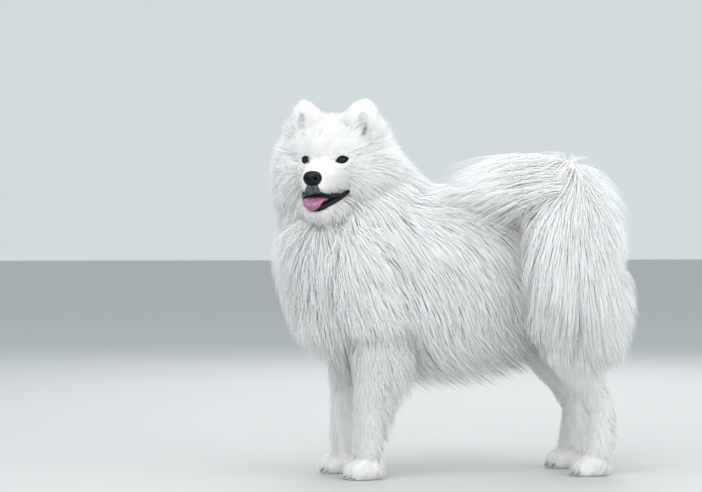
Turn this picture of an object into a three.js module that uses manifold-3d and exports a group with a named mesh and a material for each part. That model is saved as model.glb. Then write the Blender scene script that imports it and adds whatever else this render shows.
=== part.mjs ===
// A life-size samoyed standing in full winter coat, its head turned to its left and its plumed tail
// carried over the back and down the left flank. Units are millimetres and +Z is up. The dog faces -X,
// its left side faces -Y, and the origin is on the floor at the middle of the whole outline.
//
// Every fleshy part is a rounded body with a core that holds the skin and the woolly undercoat. Flat
// tapered locks grow from the core and reach the true outline. The dog is joined into one solid, and
// thin cuts then divide it into head, neck, chest, hindquarters, legs, paws and tail.
import * as THREE from "three";
import { mergeVertices } from "three/addons/utils/BufferGeometryUtils.js";
import Module from "manifold-3d";

const wasm = await Module();
wasm.setup();

// Driving sizes.
const GAP = 0.3; // between parts that touch
const SHOULDER_HEIGHT = 558; // top of the withers, under the coat
const CORE_SHARE = 0.62; // how much of the coat's depth the core fills
const LOCK_WIDTH = 98;
const LOCK_THICKNESS = 15;
const ROOT_DEPTH = 11; // how far a lock is sunk into the core
const ROW_SPACING = 99; // from one row of locks to the next
const SEED = 20;

// Where the feet stand.
const FORE_X = 8;
const FORE_Y = 62;
const HIND_X = 472;
const HIND_Y = 76;
const FORE_AHEAD = 26; // the right forefoot, ahead of the left
const HIND_AHEAD = 10;

// The head: the point midway between the eyes, and how far it is turned to the left.
const EYES_X = -76;
const EYES_Y = -73;
const EYES_Z = 637;
const HEAD_TURN = THREE.MathUtils.degToRad(64);
const EYE_SPACING = 67;
const EYE_RADIUS = 11.5;
const EYE_DEPTH = -3; // behind the point between the eyes

// Coat depths, from the skin to the tips.
const COAT = { back: 35, side: 50, belly: 108, ruff: 74, leg: 10 };

const COLOURS = {
  coat: { color: "#f1f1ee", roughness: 0.85 },
  nose: { color: "#17191d", roughness: 0.45 },
  lips: { color: "#1c1c20", roughness: 0.4 },
  eye: { color: "#1d120c", roughness: 0.08 },
  tongue: { color: "#c97f9c", roughness: 0.4 },
};

const vec = (x, y, z) => new THREE.Vector3(x, y, z);
const UP = vec(0, 0, 1);
const FORWARD = vec(-1, 0, 0);

// A seeded random number from 0 to 1.
function randomFrom(seed) {
  let state = seed;
  return () => {
    state = (state + 0x6d2b79f5) | 0;
    let mixed = Math.imul(state ^ (state >>> 15), 1 | state);
    mixed = (mixed + Math.imul(mixed ^ (mixed >>> 7), 61 | mixed)) ^ mixed;
    return ((mixed ^ (mixed >>> 14)) >>> 0) / 4294967296;
  };
}
const random = randomFrom(SEED);
const vary = (share) => 1 + share * (random() * 2 - 1);

// Joining and cutting.
function positionsOnly(geometry) {
  const bare = geometry.clone();
  bare.deleteAttribute("normal");
  bare.deleteAttribute("uv");
  return mergeVertices(bare, 1e-3);
}

function solidOf(geometry) {
  const bare = positionsOnly(geometry);
  return new wasm.Manifold(
    new wasm.Mesh({
      numProp: 3,
      vertProperties: new Float32Array(bare.attributes.position.array),
      triVerts: new Uint32Array(bare.index.array),
    }),
  );
}

function geometryOf(solid) {
  const mesh = solid.getMesh();
  const geometry = new THREE.BufferGeometry();
  geometry.setAttribute("position", new THREE.BufferAttribute(mesh.vertProperties, 3));
  geometry.setIndex(new THREE.BufferAttribute(mesh.triVerts, 1));
  return geometry;
}

function join(solids) {
  return wasm.Manifold.union(solids);
}

// Only the largest closed surface of a solid.
function largest(solid) {
  return solid.decompose().reduce((best, piece) => (piece.volume() > best.volume() ? piece : best));
}

// What lies inside a region, and what is left outside it, a gap apart. region(grow) makes the region.
function part(solid, region) {
  return [solid.intersect(region(0)), solid.subtract(region(GAP))];
}

// A block whose near face passes through a point and which reaches the given way from there.
function blockBeyond(point, direction, reach = 900) {
  const turn = new THREE.Quaternion().setFromUnitVectors(UP, direction.clone().normalize());
  return (grow) => {
    const block = new THREE.BoxGeometry(reach * 2, reach * 2, reach);
    block.translate(0, 0, reach / 2 - grow);
    block.applyQuaternion(turn);
    return solidOf(block.translate(point.x, point.y, point.z));
  };
}

// A box region between two corners, set in a frame of its own.
function boxRegion(low, high, place = new THREE.Matrix4()) {
  return (grow) => {
    const size = high.clone().sub(low).addScalar(grow * 2);
    const middle = high.clone().add(low).multiplyScalar(0.5);
    const box = new THREE.BoxGeometry(size.x, size.y, size.z);
    return solidOf(box.translate(middle.x, middle.y, middle.z).applyMatrix4(place));
  };
}

// A rounded body along a bent line. Each station has a centre and its half sizes: wide is level and
// across the line, tall is upright. coat is the depth from skin to tips on the sides.
function body(stations, { up = UP, caps = [0.2, 0.2], square = 2, depthAt = () => 1 } = {}) {
  const line = new THREE.CatmullRomCurve3(stations.map((s) => vec(s.x, s.y ?? 0, s.z)));
  const sizes = new THREE.CatmullRomCurve3(stations.map((s) => vec(s.wide, s.tall, s.coat ?? 0)));

  function frame(t) {
    const along = line.getTangent(t);
    const across = vec(0, 0, 0).crossVectors(up, along).normalize();
    return { centre: line.getPoint(t), along, across, upright: vec(0, 0, 0).crossVectors(along, across) };
  }

  function roundEnd(t) {
    const nearest = Math.min(t / caps[0], (1 - t) / caps[1], 1);
    return Math.sqrt(Math.max(0, 1 - (1 - nearest) ** 2));
  }

  function coatDepth(t, angle) {
    return sizes.getPoint(t).z * depthAt(angle, t);
  }

  // A point of the surface. share is how much of the coat lies under it, and grow is added to that.
  function at(t, angle, share = CORE_SHARE, grow = 0) {
    const { centre, across, upright } = frame(t);
    const size = sizes.getPoint(t);
    const cos = Math.cos(angle);
    const sin = Math.sin(angle);
    const corner = (Math.abs(cos) ** square + Math.abs(sin) ** square) ** (-1 / square);
    const cover = coatDepth(t, angle) * share + grow;
    const end = roundEnd(t);
    centre.addScaledVector(across, cos * corner * (size.x + cover) * end);
    return centre.addScaledVector(upright, sin * corner * (size.y + cover) * end);
  }

  function outward(t, angle) {
    const step = 0.01;
    const before = Math.max(0.005, t - step);
    const after = Math.min(0.995, t + step);
    const down = at(after, angle).sub(at(before, angle));
    const round = at(t, angle + 0.05).sub(at(t, angle - 0.05));
    return down.cross(round).negate().normalize();
  }

  function geometry(sides, rings, share = CORE_SHARE, grow = 0) {
    const ball = positionsOnly(new THREE.SphereGeometry(1, sides, rings));
    const places = ball.attributes.position;
    for (let i = 0; i < places.count; i++) {
      const turn = Math.acos(THREE.MathUtils.clamp(places.getY(i), -1, 1)) / Math.PI;
      const t = THREE.MathUtils.lerp(turn, (1 - Math.cos(Math.PI * turn)) / 2, 0.55);
      const angle = Math.atan2(places.getZ(i), places.getX(i));
      const point = at(t, angle, share, grow);
      places.setXYZ(i, point.x, point.y, point.z);
    }
    return ball;
  }

  function holds(point, grow = 0) {
    let best = 0;
    let nearest = Infinity;
    for (let i = 0; i <= 40; i++) {
      const distance = line.getPoint(i / 40).distanceToSquared(point);
      if (distance < nearest) {
        nearest = distance;
        best = i / 40;
      }
    }
    const { centre, across, upright } = frame(best);
    const size = sizes.getPoint(best);
    const from = point.clone().sub(centre);
    const level = from.dot(across);
    const high = from.dot(upright);
    const cover = coatDepth(best, Math.atan2(high, level)) * CORE_SHARE + grow;
    const end = roundEnd(best);
    return (level / (size.x + cover)) ** 2 + (high / (size.y + cover)) ** 2 < end * end;
  }

  const length = line.getLength();
  const girth = (t) => 2 * Math.PI * Math.sqrt(sizes.getPoint(t).x * sizes.getPoint(t).y);
  return { at, outward, geometry, holds, coatDepth, length, girth, frame };
}

// The right legs stand like the left ones, the right foreleg a little further forward.
const mirrored = (stations, ahead) =>
  stations.map((s) => ({ ...s, x: s.x - ahead * THREE.MathUtils.clamp((520 - s.z) / 250, 0, 1), y: -s.y }));

// The trunk, from breastbone to buttocks.
const trunk = body(
  [
    { x: -88, z: 432, wide: 36, tall: 40, coat: 60 },
    { x: -48, z: 434, wide: 70, tall: 84, coat: COAT.side + 12 },
    { x: 20, z: SHOULDER_HEIGHT - 120, wide: 92, tall: 116, coat: COAT.side + 4 },
    { x: 110, z: SHOULDER_HEIGHT - 126, wide: 103, tall: 126, coat: COAT.side },
    { x: 210, z: SHOULDER_HEIGHT - 118, wide: 102, tall: 116, coat: COAT.side },
    { x: 310, z: 455, wide: 91, tall: 98, coat: COAT.side },
    { x: 400, z: 460, wide: 90, tall: 90, coat: COAT.side },
    { x: 468, z: 452, wide: 84, tall: 84, coat: COAT.side },
    { x: 520, z: 436, wide: 60, tall: 62, coat: 58 },
  ],
  {
    caps: [0.1, 0.12],
    depthAt(angle) {
      const high = Math.sin(angle);
      const most = high > 0 ? COAT.back : COAT.belly;
      return 1 + (most / COAT.side - 1) * high * high;
    },
  },
);

const neck = body(
  [
    { x: 62, y: 0, z: 425, wide: 86, tall: 90, coat: 40 },
    { x: 26, y: 8, z: 490, wide: 84, tall: 96, coat: 66 },
    { x: -14, y: 18, z: 560, wide: 74, tall: 88, coat: COAT.ruff + 8 },
    { x: -36, y: 14, z: 622, wide: 60, tall: 74, coat: COAT.ruff + 8 },
    { x: -46, y: 2, z: 666, wide: 46, tall: 56, coat: 44 },
  ],
  { up: FORWARD, caps: [0.12, 0.3] },
);

// The breast, with the deep bib of the ruff in front of it.
const breast = body(
  [
    { x: -50, y: 4, z: 536, wide: 68, tall: 48, coat: 72 },
    { x: -64, y: 0, z: 450, wide: 72, tall: 42, coat: 68 },
    { x: -54, y: 0, z: 370, wide: 64, tall: 38, coat: 58 },
    { x: -34, y: 0, z: 300, wide: 46, tall: 32, coat: 50 },
  ],
  { up: FORWARD, caps: [0.25, 0.25] },
);

const leftShoulder = [
  { x: 8, y: -62, z: 505, wide: 34, tall: 52, coat: 46 },
  { x: 0, y: -78, z: 430, wide: 40, tall: 62, coat: 44 },
  { x: 22, y: -80, z: 345, wide: 38, tall: 52, coat: 38 },
  { x: 34, y: -76, z: 285, wide: 30, tall: 38, coat: 26 },
];
const leftForeleg = [
  { x: 30, y: -76, z: 330, wide: 34, tall: 42, coat: 24 },
  { x: 26, y: -72, z: 260, wide: 28, tall: 34, coat: 16 },
  { x: 18, y: -67, z: 170, wide: 22, tall: 25, coat: COAT.leg },
  { x: FORE_X + 6, y: -FORE_Y - 2, z: 92, wide: 20, tall: 22, coat: COAT.leg },
  { x: FORE_X + 2, y: -FORE_Y, z: 36, wide: 20, tall: 21, coat: COAT.leg },
];
const leftThigh = [
  { x: 450, y: -56, z: 478, wide: 38, tall: 60, coat: 54 },
  { x: 434, y: -76, z: 405, wide: 44, tall: 77, coat: 58 },
  { x: 418, y: -84, z: 330, wide: 40, tall: 71, coat: 60 },
  { x: 412, y: -82, z: 266, wide: 32, tall: 52, coat: 54 },
];
const leftShank = [
  { x: 396, y: -82, z: 300, wide: 32, tall: 44, coat: 26 },
  { x: 430, y: -79, z: 236, wide: 28, tall: 38, coat: 18 },
  { x: 466, y: -HIND_Y, z: 178, wide: 20, tall: 25, coat: 12 },
  { x: 484, y: -HIND_Y, z: 138, wide: 18, tall: 21, coat: COAT.leg },
];
const leftHock = [
  { x: 478, y: -HIND_Y, z: 172, wide: 15, tall: 18, coat: COAT.leg },
  { x: 488, y: -HIND_Y, z: 140, wide: 17, tall: 20, coat: COAT.leg },
  { x: 490, y: -HIND_Y, z: 90, wide: 17, tall: 20, coat: 11 },
  { x: HIND_X + 12, y: -HIND_Y, z: 34, wide: 20, tall: 23, coat: 11 },
];
const rearHair = (angle) => 0.72 - 0.28 * Math.sin(angle);
// The feathering behind the upper foreleg is the deepest there.
function featherHair(angle, t) {
  const behind = Math.max(0, -Math.sin(angle)) ** 2;
  return 1 + 2.6 * behind * Math.max(0, 1 - Math.abs(t - 0.36) / 0.42);
}
const limb = (stations, caps, depthAt) => body(stations, { up: FORWARD, caps, depthAt });
const limbs = {};
for (const [side, flip] of [["left", (s) => s], ["right", mirrored]]) {
  limbs["shoulder_" + side] = limb(flip(leftShoulder, FORE_AHEAD), [0.3, 0.25]);
  limbs["foreleg_" + side] = limb(flip(leftForeleg, FORE_AHEAD), [0.12, 0.1], featherHair);
  limbs["thigh_" + side] = limb(flip(leftThigh, HIND_AHEAD), [0.3, 0.25], rearHair);
  limbs["shank_" + side] = limb(flip(leftShank, HIND_AHEAD), [0.2, 0.15]);
  limbs["hock_" + side] = limb(flip(leftHock, HIND_AHEAD), [0.15, 0.1]);
}

// The tail rises from the croup and curls over the back, and its plume hangs down the left flank.
const tailRise = body(
  [
    { x: 488, y: 6, z: 505, wide: 28, tall: 28, coat: 26 },
    { x: 492, y: 2, z: 550, wide: 24, tall: 24, coat: 40 },
    { x: 480, y: -18, z: 596, wide: 22, tall: 22, coat: 50 },
    { x: 450, y: -52, z: 618, wide: 20, tall: 22, coat: 48 },
  ],
  { up: FORWARD, caps: [0.1, 0.3] },
);
const tailPlume = body(
  [
    { x: 446, y: -46, z: 622, wide: 22, tall: 24, coat: 44 },
    { x: 418, y: -104, z: 606, wide: 18, tall: 44, coat: 50 },
    { x: 404, y: -148, z: 545, wide: 13, tall: 46, coat: 50 },
    { x: 408, y: -166, z: 460, wide: 11, tall: 38, coat: 46 },
    { x: 420, y: -170, z: 380, wide: 8, tall: 26, coat: 36 },
  ],
  { up: FORWARD, caps: [0.25, 0.3], depthAt: (angle) => 0.7 + 0.6 * Math.sin(angle) ** 2 },
);

// The head has its own frame: x forward to the nose, y to the dog's left, z up, from between the eyes.
const headPlace = new THREE.Matrix4()
  .makeRotationZ(Math.PI + HEAD_TURN)
  .setPosition(EYES_X, EYES_Y, EYES_Z);
const inHead = (geometry) => solidOf(positionsOnly(geometry).applyMatrix4(headPlace));

function ball(x, y, z, long, wide, tall, sides = 18, rings = 12) {
  const made = new THREE.SphereGeometry(1, sides, rings).rotateX(Math.PI / 2);
  return made.scale(long, wide, tall).translate(x, y, z);
}

const muzzle = body(
  [
    { x: -34, z: -20, wide: 62, tall: 44 },
    { x: 0, z: -29, wide: 48, tall: 38 },
    { x: 26, z: -37, wide: 35, tall: 32.5 },
    { x: 52, z: -43, wide: 28, tall: 27 },
    { x: 76, z: -45, wide: 24, tall: 23 },
    { x: 88, z: -46, wide: 17, tall: 17 },
  ],
  { caps: [0.1, 0.12], square: 2.5 },
);
const jaw = body(
  [
    { x: -58, z: -66, wide: 48, tall: 28 },
    { x: -5, z: -82, wide: 41, tall: 22 },
    { x: 35, z: -98, wide: 27, tall: 17 },
    { x: 68, z: -108, wide: 17, tall: 12 },
  ],
  { caps: [0.15, 0.2], square: 2.4 },
);
const tongue = body(
  [
    { x: -8, z: -66, wide: 17, tall: 5 },
    { x: 30, z: -76, wide: 20, tall: 5.5 },
    { x: 60, z: -88, wide: 22, tall: 5 },
    { x: 76, z: -93, wide: 21, tall: 4.5 },
    { x: 82, z: -104, wide: 15, tall: 4 },
  ],
  { caps: [0.1, 0.2] },
);

// The back of the head with the ruff that frames the face, set along the head's own line.
const ruff = body(
  [
    { x: -26, z: 0, wide: 78, tall: 74, coat: 48 },
    { x: -62, z: -6, wide: 84, tall: 82, coat: 64 },
    { x: -100, z: -18, wide: 72, tall: 76, coat: 68 },
    { x: -136, z: -46, wide: 52, tall: 56, coat: 62 },
  ].map((s) => ({ ...s, ...vec(s.x, 0, s.z).applyMatrix4(headPlace) })),
  { caps: [0.12, 0.3], depthAt: (angle) => 1 - 0.6 * Math.max(0, Math.sin(angle)) ** 2 },
);

// The open mouth, seen from the side: a wedge from the corner of the lips to the front.
const MOUTH_CORNER = { x: -9, z: -55 };
function mouthWedge() {
  const outline = new THREE.Shape();
  outline.moveTo(MOUTH_CORNER.x, MOUTH_CORNER.z);
  outline.quadraticCurveTo(34, -78, 78, -66);
  outline.lineTo(120, -62);
  outline.lineTo(120, -100);
  outline.lineTo(70, -95);
  outline.quadraticCurveTo(30, -84, MOUTH_CORNER.x, MOUTH_CORNER.z);
  const made = new THREE.ExtrudeGeometry(outline, { depth: 140, bevelEnabled: false, curveSegments: 5 });
  return made.translate(0, 0, -70).rotateX(Math.PI / 2);
}

// Everything below the mouth, in front of the jaw's hinge.
function belowMouth(grow) {
  const outline = new THREE.Shape();
  outline.moveTo(MOUTH_CORNER.x - 6 - grow, MOUTH_CORNER.z - 4 + grow);
  outline.lineTo(120 + grow, -78 + grow);
  outline.lineTo(120 + grow, -134 - grow);
  outline.lineTo(MOUTH_CORNER.x + 22 - grow, -112 - grow);
  const made = new THREE.ExtrudeGeometry(outline, { depth: 110 + grow * 2, bevelEnabled: false });
  return inHead(made.translate(0, 0, -55 - grow).rotateX(Math.PI / 2));
}

// A lip is a thick rounded cord that follows the edge of the mouth from corner to corner.
function lip(points, radius, grow) {
  const half = points.map(([x, y, z]) => vec(x, y, z));
  const other = half.slice(0, -1).reverse().map((p) => vec(p.x, -p.y, p.z));
  const route = new THREE.CatmullRomCurve3([...half, ...other]);
  const section = new THREE.Shape().absarc(0, 0, radius + grow, 0, Math.PI * 2);
  const options = { steps: 16, curveSegments: 2.5, bevelEnabled: false, extrudePath: route };
  return inHead(new THREE.ExtrudeGeometry(section, options));
}
// The left half of each lip, from the corner of the mouth to the middle.
const UPPER_LIP = [[-8, 47, -54], [16, 42, -67], [44, 31, -73], [68, 22, -69], [82, 9, -64], [85, 0, -62]];
const LOWER_LIP = [[-6, 45, -58], [12, 39, -70], [38, 26, -85], [60, 15, -95], [69, 7, -98], [71, 0, -98]];

// An eyelid: a ring round the almond opening of the eye, on the eyeball's surface.
function eyelid(side, grow) {
  const ring = positionsOnly(new THREE.TorusGeometry(1, 0.2, 4, 10));
  const places = ring.attributes.position;
  const thick = 2.6 + grow;
  for (let i = 0; i < places.count; i++) {
    const point = vec(places.getX(i), places.getY(i), places.getZ(i));
    const turn = Math.atan2(point.y, point.x);
    const middle = vec(Math.cos(turn), Math.sin(turn), 0);
    const from = point.clone().sub(middle).multiplyScalar(thick / 0.2);
    const almond = 12.4 * Math.cos(turn);
    const open = 6.6 * Math.sin(turn) * (1 - 0.35 * Math.cos(turn) ** 2);
    const bulge = Math.sqrt(Math.max(0, EYE_RADIUS ** 2 - 0.72 * (almond ** 2 + open ** 2)));
    const aside = from.dot(middle);
    places.setXYZ(i, bulge + from.z, almond + aside * middle.x, open + aside * middle.y);
  }
  ring.rotateX(side * 0.16).rotateZ(side * 0.36);
  return ring.translate(EYE_DEPTH, (side * EYE_SPACING) / 2, 0);
}
function eyeball(side, grow) {
  const radius = EYE_RADIUS + grow;
  return ball(EYE_DEPTH, (side * EYE_SPACING) / 2, 0, radius, radius, radius, 10, 7);
}

// An ear: a thick rounded triangle with a cupped front.
const EAR_HEIGHT = 84;
function ear(side) {
  const outer = body(
    [
      { x: -46, y: side * 50, z: 40, wide: 39, tall: 23 },
      { x: -46, y: side * 55, z: 40 + EAR_HEIGHT * 0.35, wide: 35, tall: 18 },
      { x: -44, y: side * 61, z: 40 + EAR_HEIGHT * 0.7, wide: 25, tall: 12 },
      { x: -42, y: side * 66, z: 40 + EAR_HEIGHT, wide: 12, tall: 7 },
    ],
    { up: vec(1, side * 0.35, 0), caps: [0.08, 0.2] },
  );
  const cup = body(
    [
      { x: -20, y: side * 62, z: 48, wide: 22, tall: 13 },
      { x: -25, y: side * 64, z: 48 + EAR_HEIGHT * 0.35, wide: 19, tall: 13 },
      { x: -31, y: side * 66, z: 48 + EAR_HEIGHT * 0.68, wide: 10, tall: 8 },
    ],
    { up: vec(1, side * 0.35, 0), caps: [0.3, 0.4] },
  );
  return inHead(outer.geometry(12, 6, 0)).subtract(inHead(cup.geometry(8, 5, 0)));
}
const earRegion = (side) => {
  const low = vec(-84, Math.min(side * 24, side * 116), 76);
  const high = vec(0, Math.max(side * 24, side * 116), 150);
  return boxRegion(low, high, headPlace);
};

// The nose: a broad rounded block with two comma-shaped nostrils and a groove below.
function nose() {
  const block = inHead(ball(84, 0, -38, 15, 18.5, 14, 10, 6));
  const openings = [1, -1].flatMap((side) => [
    inHead(ball(98, side * 8.2, -40, 8, 4.6, 4.2, 6, 4)),
    inHead(ball(94, side * 14.5, -44, 9, 4.5, 2, 6, 4)),
  ]);
  const groove = inHead(ball(98, 0, -50, 4, 1.2, 9, 6, 4));
  return block.subtract(join([...openings, groove]));
}
const noseSeat = (grow) => inHead(ball(84, 0, -38, 15 + grow, 18.5 + grow, 14 + grow, 10, 6));

const headSolids = [
  inHead(ball(-52, 0, 16, 70, 80, 74, 14, 8)),
  solidOf(ruff.geometry(12, 6)),
  inHead(muzzle.geometry(14, 7, 0)),
  inHead(jaw.geometry(12, 6, 0)),
  ...[1, -1].flatMap((side) => [
    inHead(ball(-46, side * 48, -26, 50, 44, 46, 10, 6)),
    inHead(ball(-19, side * 25, 16, 24, 20, 14, 8, 6)),
    ear(side),
  ]),
];

// Feet: a rounded pad with four toes and short claws, flat underneath.
function paw(x, y, long, wide, tall) {
  const made = [solidOf(ball(x + 4, y, tall * 0.42, long * 0.42, wide * 0.46, tall * 0.62, 8, 5))];
  [-1.5, -0.5, 0.5, 1.5].forEach((place) => {
    const inner = Math.abs(place) < 1;
    const toeX = x - long * (inner ? 0.3 : 0.2);
    const toeY = y + place * wide * 0.235;
    made.push(solidOf(ball(toeX, toeY, tall * 0.36, long * 0.21, wide * 0.145, tall * 0.4, 6, 3)));
    const claw = new THREE.ConeGeometry(2.6, 13, 3).rotateZ(Math.PI / 2 + 0.5);
    made.push(solidOf(claw.translate(toeX - long * 0.2, toeY, tall * 0.2)));
  });
  return join(made);
}

// Locks of hair.
const LEAF = positionsOnly(new THREE.ConeGeometry(1, 1, 4, 2));

// A flat tapered lock that leaves the core at its root, bends over and lies along the coat to its tip.
function lock({ root, out, bend, tip, wide, thick }) {
  const away = tip.clone().sub(root).normalize();
  const start = root.clone().addScaledVector(out, -ROOT_DEPTH).addScaledVector(away, -ROOT_DEPTH);
  const line = new THREE.QuadraticBezierCurve3(start, bend, tip);
  const leaf = LEAF.clone();
  const places = leaf.attributes.position;
  for (let i = 0; i < places.count; i++) {
    const t = places.getY(i) + 0.5;
    const along = line.getTangent(t);
    const across = vec(0, 0, 0).crossVectors(along, out).normalize();
    const upward = vec(0, 0, 0).crossVectors(across, along);
    const spread = Math.hypot(places.getX(i), places.getZ(i));
    const taper = spread < 1e-6 ? 0 : (Math.sqrt(1 - t) * (0.74 + 0.55 * t)) / spread;
    const point = line.getPoint(t);
    point.addScaledVector(across, (places.getX(i) * taper * wide) / 2);
    point.addScaledVector(upward, (places.getZ(i) * taper * thick) / 2);
    places.setXYZ(i, point.x, point.y, point.z);
  }
  return solidOf(leaf);
}

// The way the hair lies at a surface, from a wished direction laid flat on it.
function laidFlat(wish, out) {
  const flat = wish.clone().addScaledVector(out, -wish.dot(out));
  return flat.lengthSq() < 1e-4 ? UP.clone().negate() : flat.normalize();
}

// Follows the lie of the hair over a body's surface for a length. Past the body's end it goes straight.
function alongCoat(source, t, angle, lie, length, share) {
  const steps = 4;
  const from = { t, angle };
  for (let step = 0; step < steps; step++) {
    const here = source.at(from.t, from.angle, share);
    const small = from.t > 0.9 ? -0.01 : 0.01;
    const alongT = source.at(from.t + small, from.angle, share).sub(here).divideScalar(small);
    const alongA = source.at(from.t, from.angle + 0.02, share).sub(here).divideScalar(0.02);
    const wish = lie(here, source.outward(from.t, from.angle));
    const way = laidFlat(wish, source.outward(from.t, from.angle)).multiplyScalar(length / steps);
    const tt = alongT.dot(alongT);
    const aa = alongA.dot(alongA);
    const ta = alongT.dot(alongA);
    const spread = tt * aa - ta * ta;
    const moveT = (way.dot(alongT) * aa - way.dot(alongA) * ta) / spread;
    const next = from.t + moveT;
    if (next < 0.04 || next > 0.96) {
      return here.addScaledVector(wish.normalize(), (length * (steps - step)) / steps);
    }
    from.t = next;
    from.angle += (way.dot(alongA) * tt - way.dot(alongT) * ta) / spread;
  }
  return source.at(from.t, from.angle, share);
}

// One lock that grows from a place on a body. A free lock hangs straight instead of hugging the body.
function lockOn(source, t, angle, { lie, grow = 1, wide = 1, free = 0 }) {
  const root = source.at(t, angle);
  const out = source.outward(t, angle);
  const depth = source.coatDepth(t, angle);
  const length = (66 + 0.9 * depth) * grow * vary(0.1);
  const hugging = alongCoat(source, t, angle, lie, length, CORE_SHARE + (1 - CORE_SHARE) * vary(0.08));
  const straight = root.clone().addScaledVector(lie(root, out).normalize(), length);
  const tip = hugging.lerp(straight.addScaledVector(out, depth * 0.3), free);
  const bend = alongCoat(source, t, angle, lie, length * 0.42, CORE_SHARE + 0.42);
  bend.lerp(root.clone().lerp(tip, 0.45).addScaledVector(out, 10), free);
  return lock({ root, out, bend, tip, wide: LOCK_WIDTH * wide * vary(0.1), thick: LOCK_THICKNESS });
}

// Rows of locks round a body. Roots that another body covers are left out.
function coatOf(source, { from, to, gap = 1, hidden, ...look }) {
  const made = [];
  const rows = Math.max(1, Math.round((source.length * (to - from)) / (ROW_SPACING * gap)));
  for (let row = 0; row < rows; row++) {
    const t = from + ((row + 0.5) / rows) * (to - from);
    const girth = source.girth(t) + 2 * Math.PI * 25;
    const count = Math.max(5, Math.round(girth / (LOCK_WIDTH * 0.88 * gap)));
    for (let k = 0; k < count; k++) {
      const angle = ((k + (row % 2) / 2 + 0.15 * random()) / count) * Math.PI * 2;
      const place = THREE.MathUtils.clamp(t + (0.15 * random() * (to - from)) / rows, 0.05, 0.95);
      if (hidden(source.at(place, angle))) continue;
      made.push(lockOn(source, place, angle, look));
    }
  }
  return made;
}

// The bodies that a root can be covered by.
const cores = { trunk, neck, breast, ruff, tailRise, tailPlume, ...limbs };
function coveredBy(...names) {
  return (point) => names.some((name) => cores[name].holds(point, -2));
}

const HEAD_CENTRE = vec(-52, 0, 0).applyMatrix4(headPlace);
const FACE_AHEAD = vec(1, 0, 0).transformDirection(headPlace);
const LIES = {
  trunk: (root, out) => vec(0.66, 0, out.z < -0.6 ? -0.3 : -0.75),
  neck: (root) => vec(0.1, 0, -1).addScaledVector(root.clone().sub(HEAD_CENTRE).normalize(), 0.35),
  breast: () => vec(0.12, 0, -1),
  ruff: (root) => {
    const away = root.clone().sub(HEAD_CENTRE).normalize();
    return away.addScaledVector(FACE_AHEAD, -0.6).add(vec(0, 0, -1.3));
  },
  shoulder: () => vec(0.4, 0, -0.92),
  thigh: (root, out) => vec(0.3 + 0.3 * out.x, 0, -0.95),
  tailRise: (root, out) => (out.x > 0.2 ? vec(0.25, 0.1, -1) : vec(-0.9, -0.3, 0.15)),
  tailPlume: (root) => (root.z > 600 ? vec(-1, -0.25, -0.1) : vec((root.x - 415) / 150, -0.06, -1)),
  foreleg: () => vec(0.62, 0, -0.78),
  breeches: () => vec(0.14, 0, -1),
  spray: () => vec(-1, -0.02, -0.34),
};

// No long locks grow on the face, and none start inside the other bodies named.
function faceOr(...names) {
  const covered = coveredBy(...names);
  const fromHead = headPlace.clone().invert();
  return (point) => {
    const local = point.clone().applyMatrix4(fromHead);
    return covered(point) || (local.x > -50 && local.z > -112 && Math.abs(local.y) < 84);
  };
}
const BOTH_SHOULDERS = ["shoulder_left", "shoulder_right"];
const BOTH_THIGHS = ["thigh_left", "thigh_right"];

const coat = [
  ...coatOf(trunk, {
    from: 0.03,
    to: 0.97,
    lie: LIES.trunk,
    hidden: coveredBy("neck", "breast", "tailRise", ...BOTH_SHOULDERS, ...BOTH_THIGHS),
  }),
  ...coatOf(neck, {
    from: 0.1,
    to: 0.86,
    lie: LIES.neck,
    hidden: faceOr("trunk", "breast", "ruff", ...BOTH_SHOULDERS),
  }),
  ...coatOf(ruff, {
    from: 0.16,
    to: 0.9,
    grow: 0.95,
    lie: LIES.ruff,
    hidden: faceOr("neck", "trunk"),
  }),
  ...coatOf(breast, {
    from: 0.04,
    to: 0.96,
    lie: LIES.breast,
    hidden: faceOr("trunk", "neck", ...BOTH_SHOULDERS),
  }),
  ...coatOf(tailRise, {
    from: 0.2,
    to: 0.9,
    lie: LIES.tailRise,
    hidden: coveredBy("trunk", "tailPlume"),
  }),
  ...coatOf(tailPlume, {
    from: 0.04,
    to: 0.96,
    grow: 1.1,
    lie: LIES.tailPlume,
    gap: 1.2,
    hidden: coveredBy("trunk", "tailRise"),
  }),
];
// The hair of the tail that sprays forward over the back.
[0.12, 0.24, 0.36].forEach((t, index) => {
  const look = { lie: LIES.spray, grow: 1.32 - 0.12 * index, wide: 0.7, free: 1 };
  coat.push(lockOn(tailPlume, t, Math.PI / 2 + 0.25 * (index - 1), look));
});
for (const side of ["left", "right"]) {
  coat.push(
    ...coatOf(limbs["shoulder_" + side], {
      from: 0.05,
      to: 0.98,
      lie: LIES.shoulder,
      gap: 1.3,
      hidden: coveredBy("trunk", "neck", "breast", "foreleg_" + side),
    }),
    ...coatOf(limbs["thigh_" + side], {
      from: 0.05,
      to: 0.98,
      lie: LIES.thigh,
      gap: 1.15,
      hidden: coveredBy("trunk", "tailPlume", "shank_" + side),
    }),
  );
  // The feathering that hangs from the back of the foreleg.
  const back = -Math.PI / 2;
  [0.1, 0.22, 0.36, 0.5].forEach((t, index) => {
    const look = { lie: LIES.foreleg, grow: 1.5 - 0.2 * index, wide: 0.6, free: 1 };
    coat.push(lockOn(limbs["foreleg_" + side], t, back + (index % 2 ? 0.3 : -0.3), look));
  });
  // The breeches behind the thigh.
  [0.3, 0.5, 0.68].forEach((t, index) => {
    const look = { lie: LIES.breeches, grow: 1.05, wide: 0.85, free: 0.8 };
    coat.push(lockOn(limbs["thigh_" + side], t, back + (index % 2 ? 0.4 : -0.35), look));
  });
}

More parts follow.
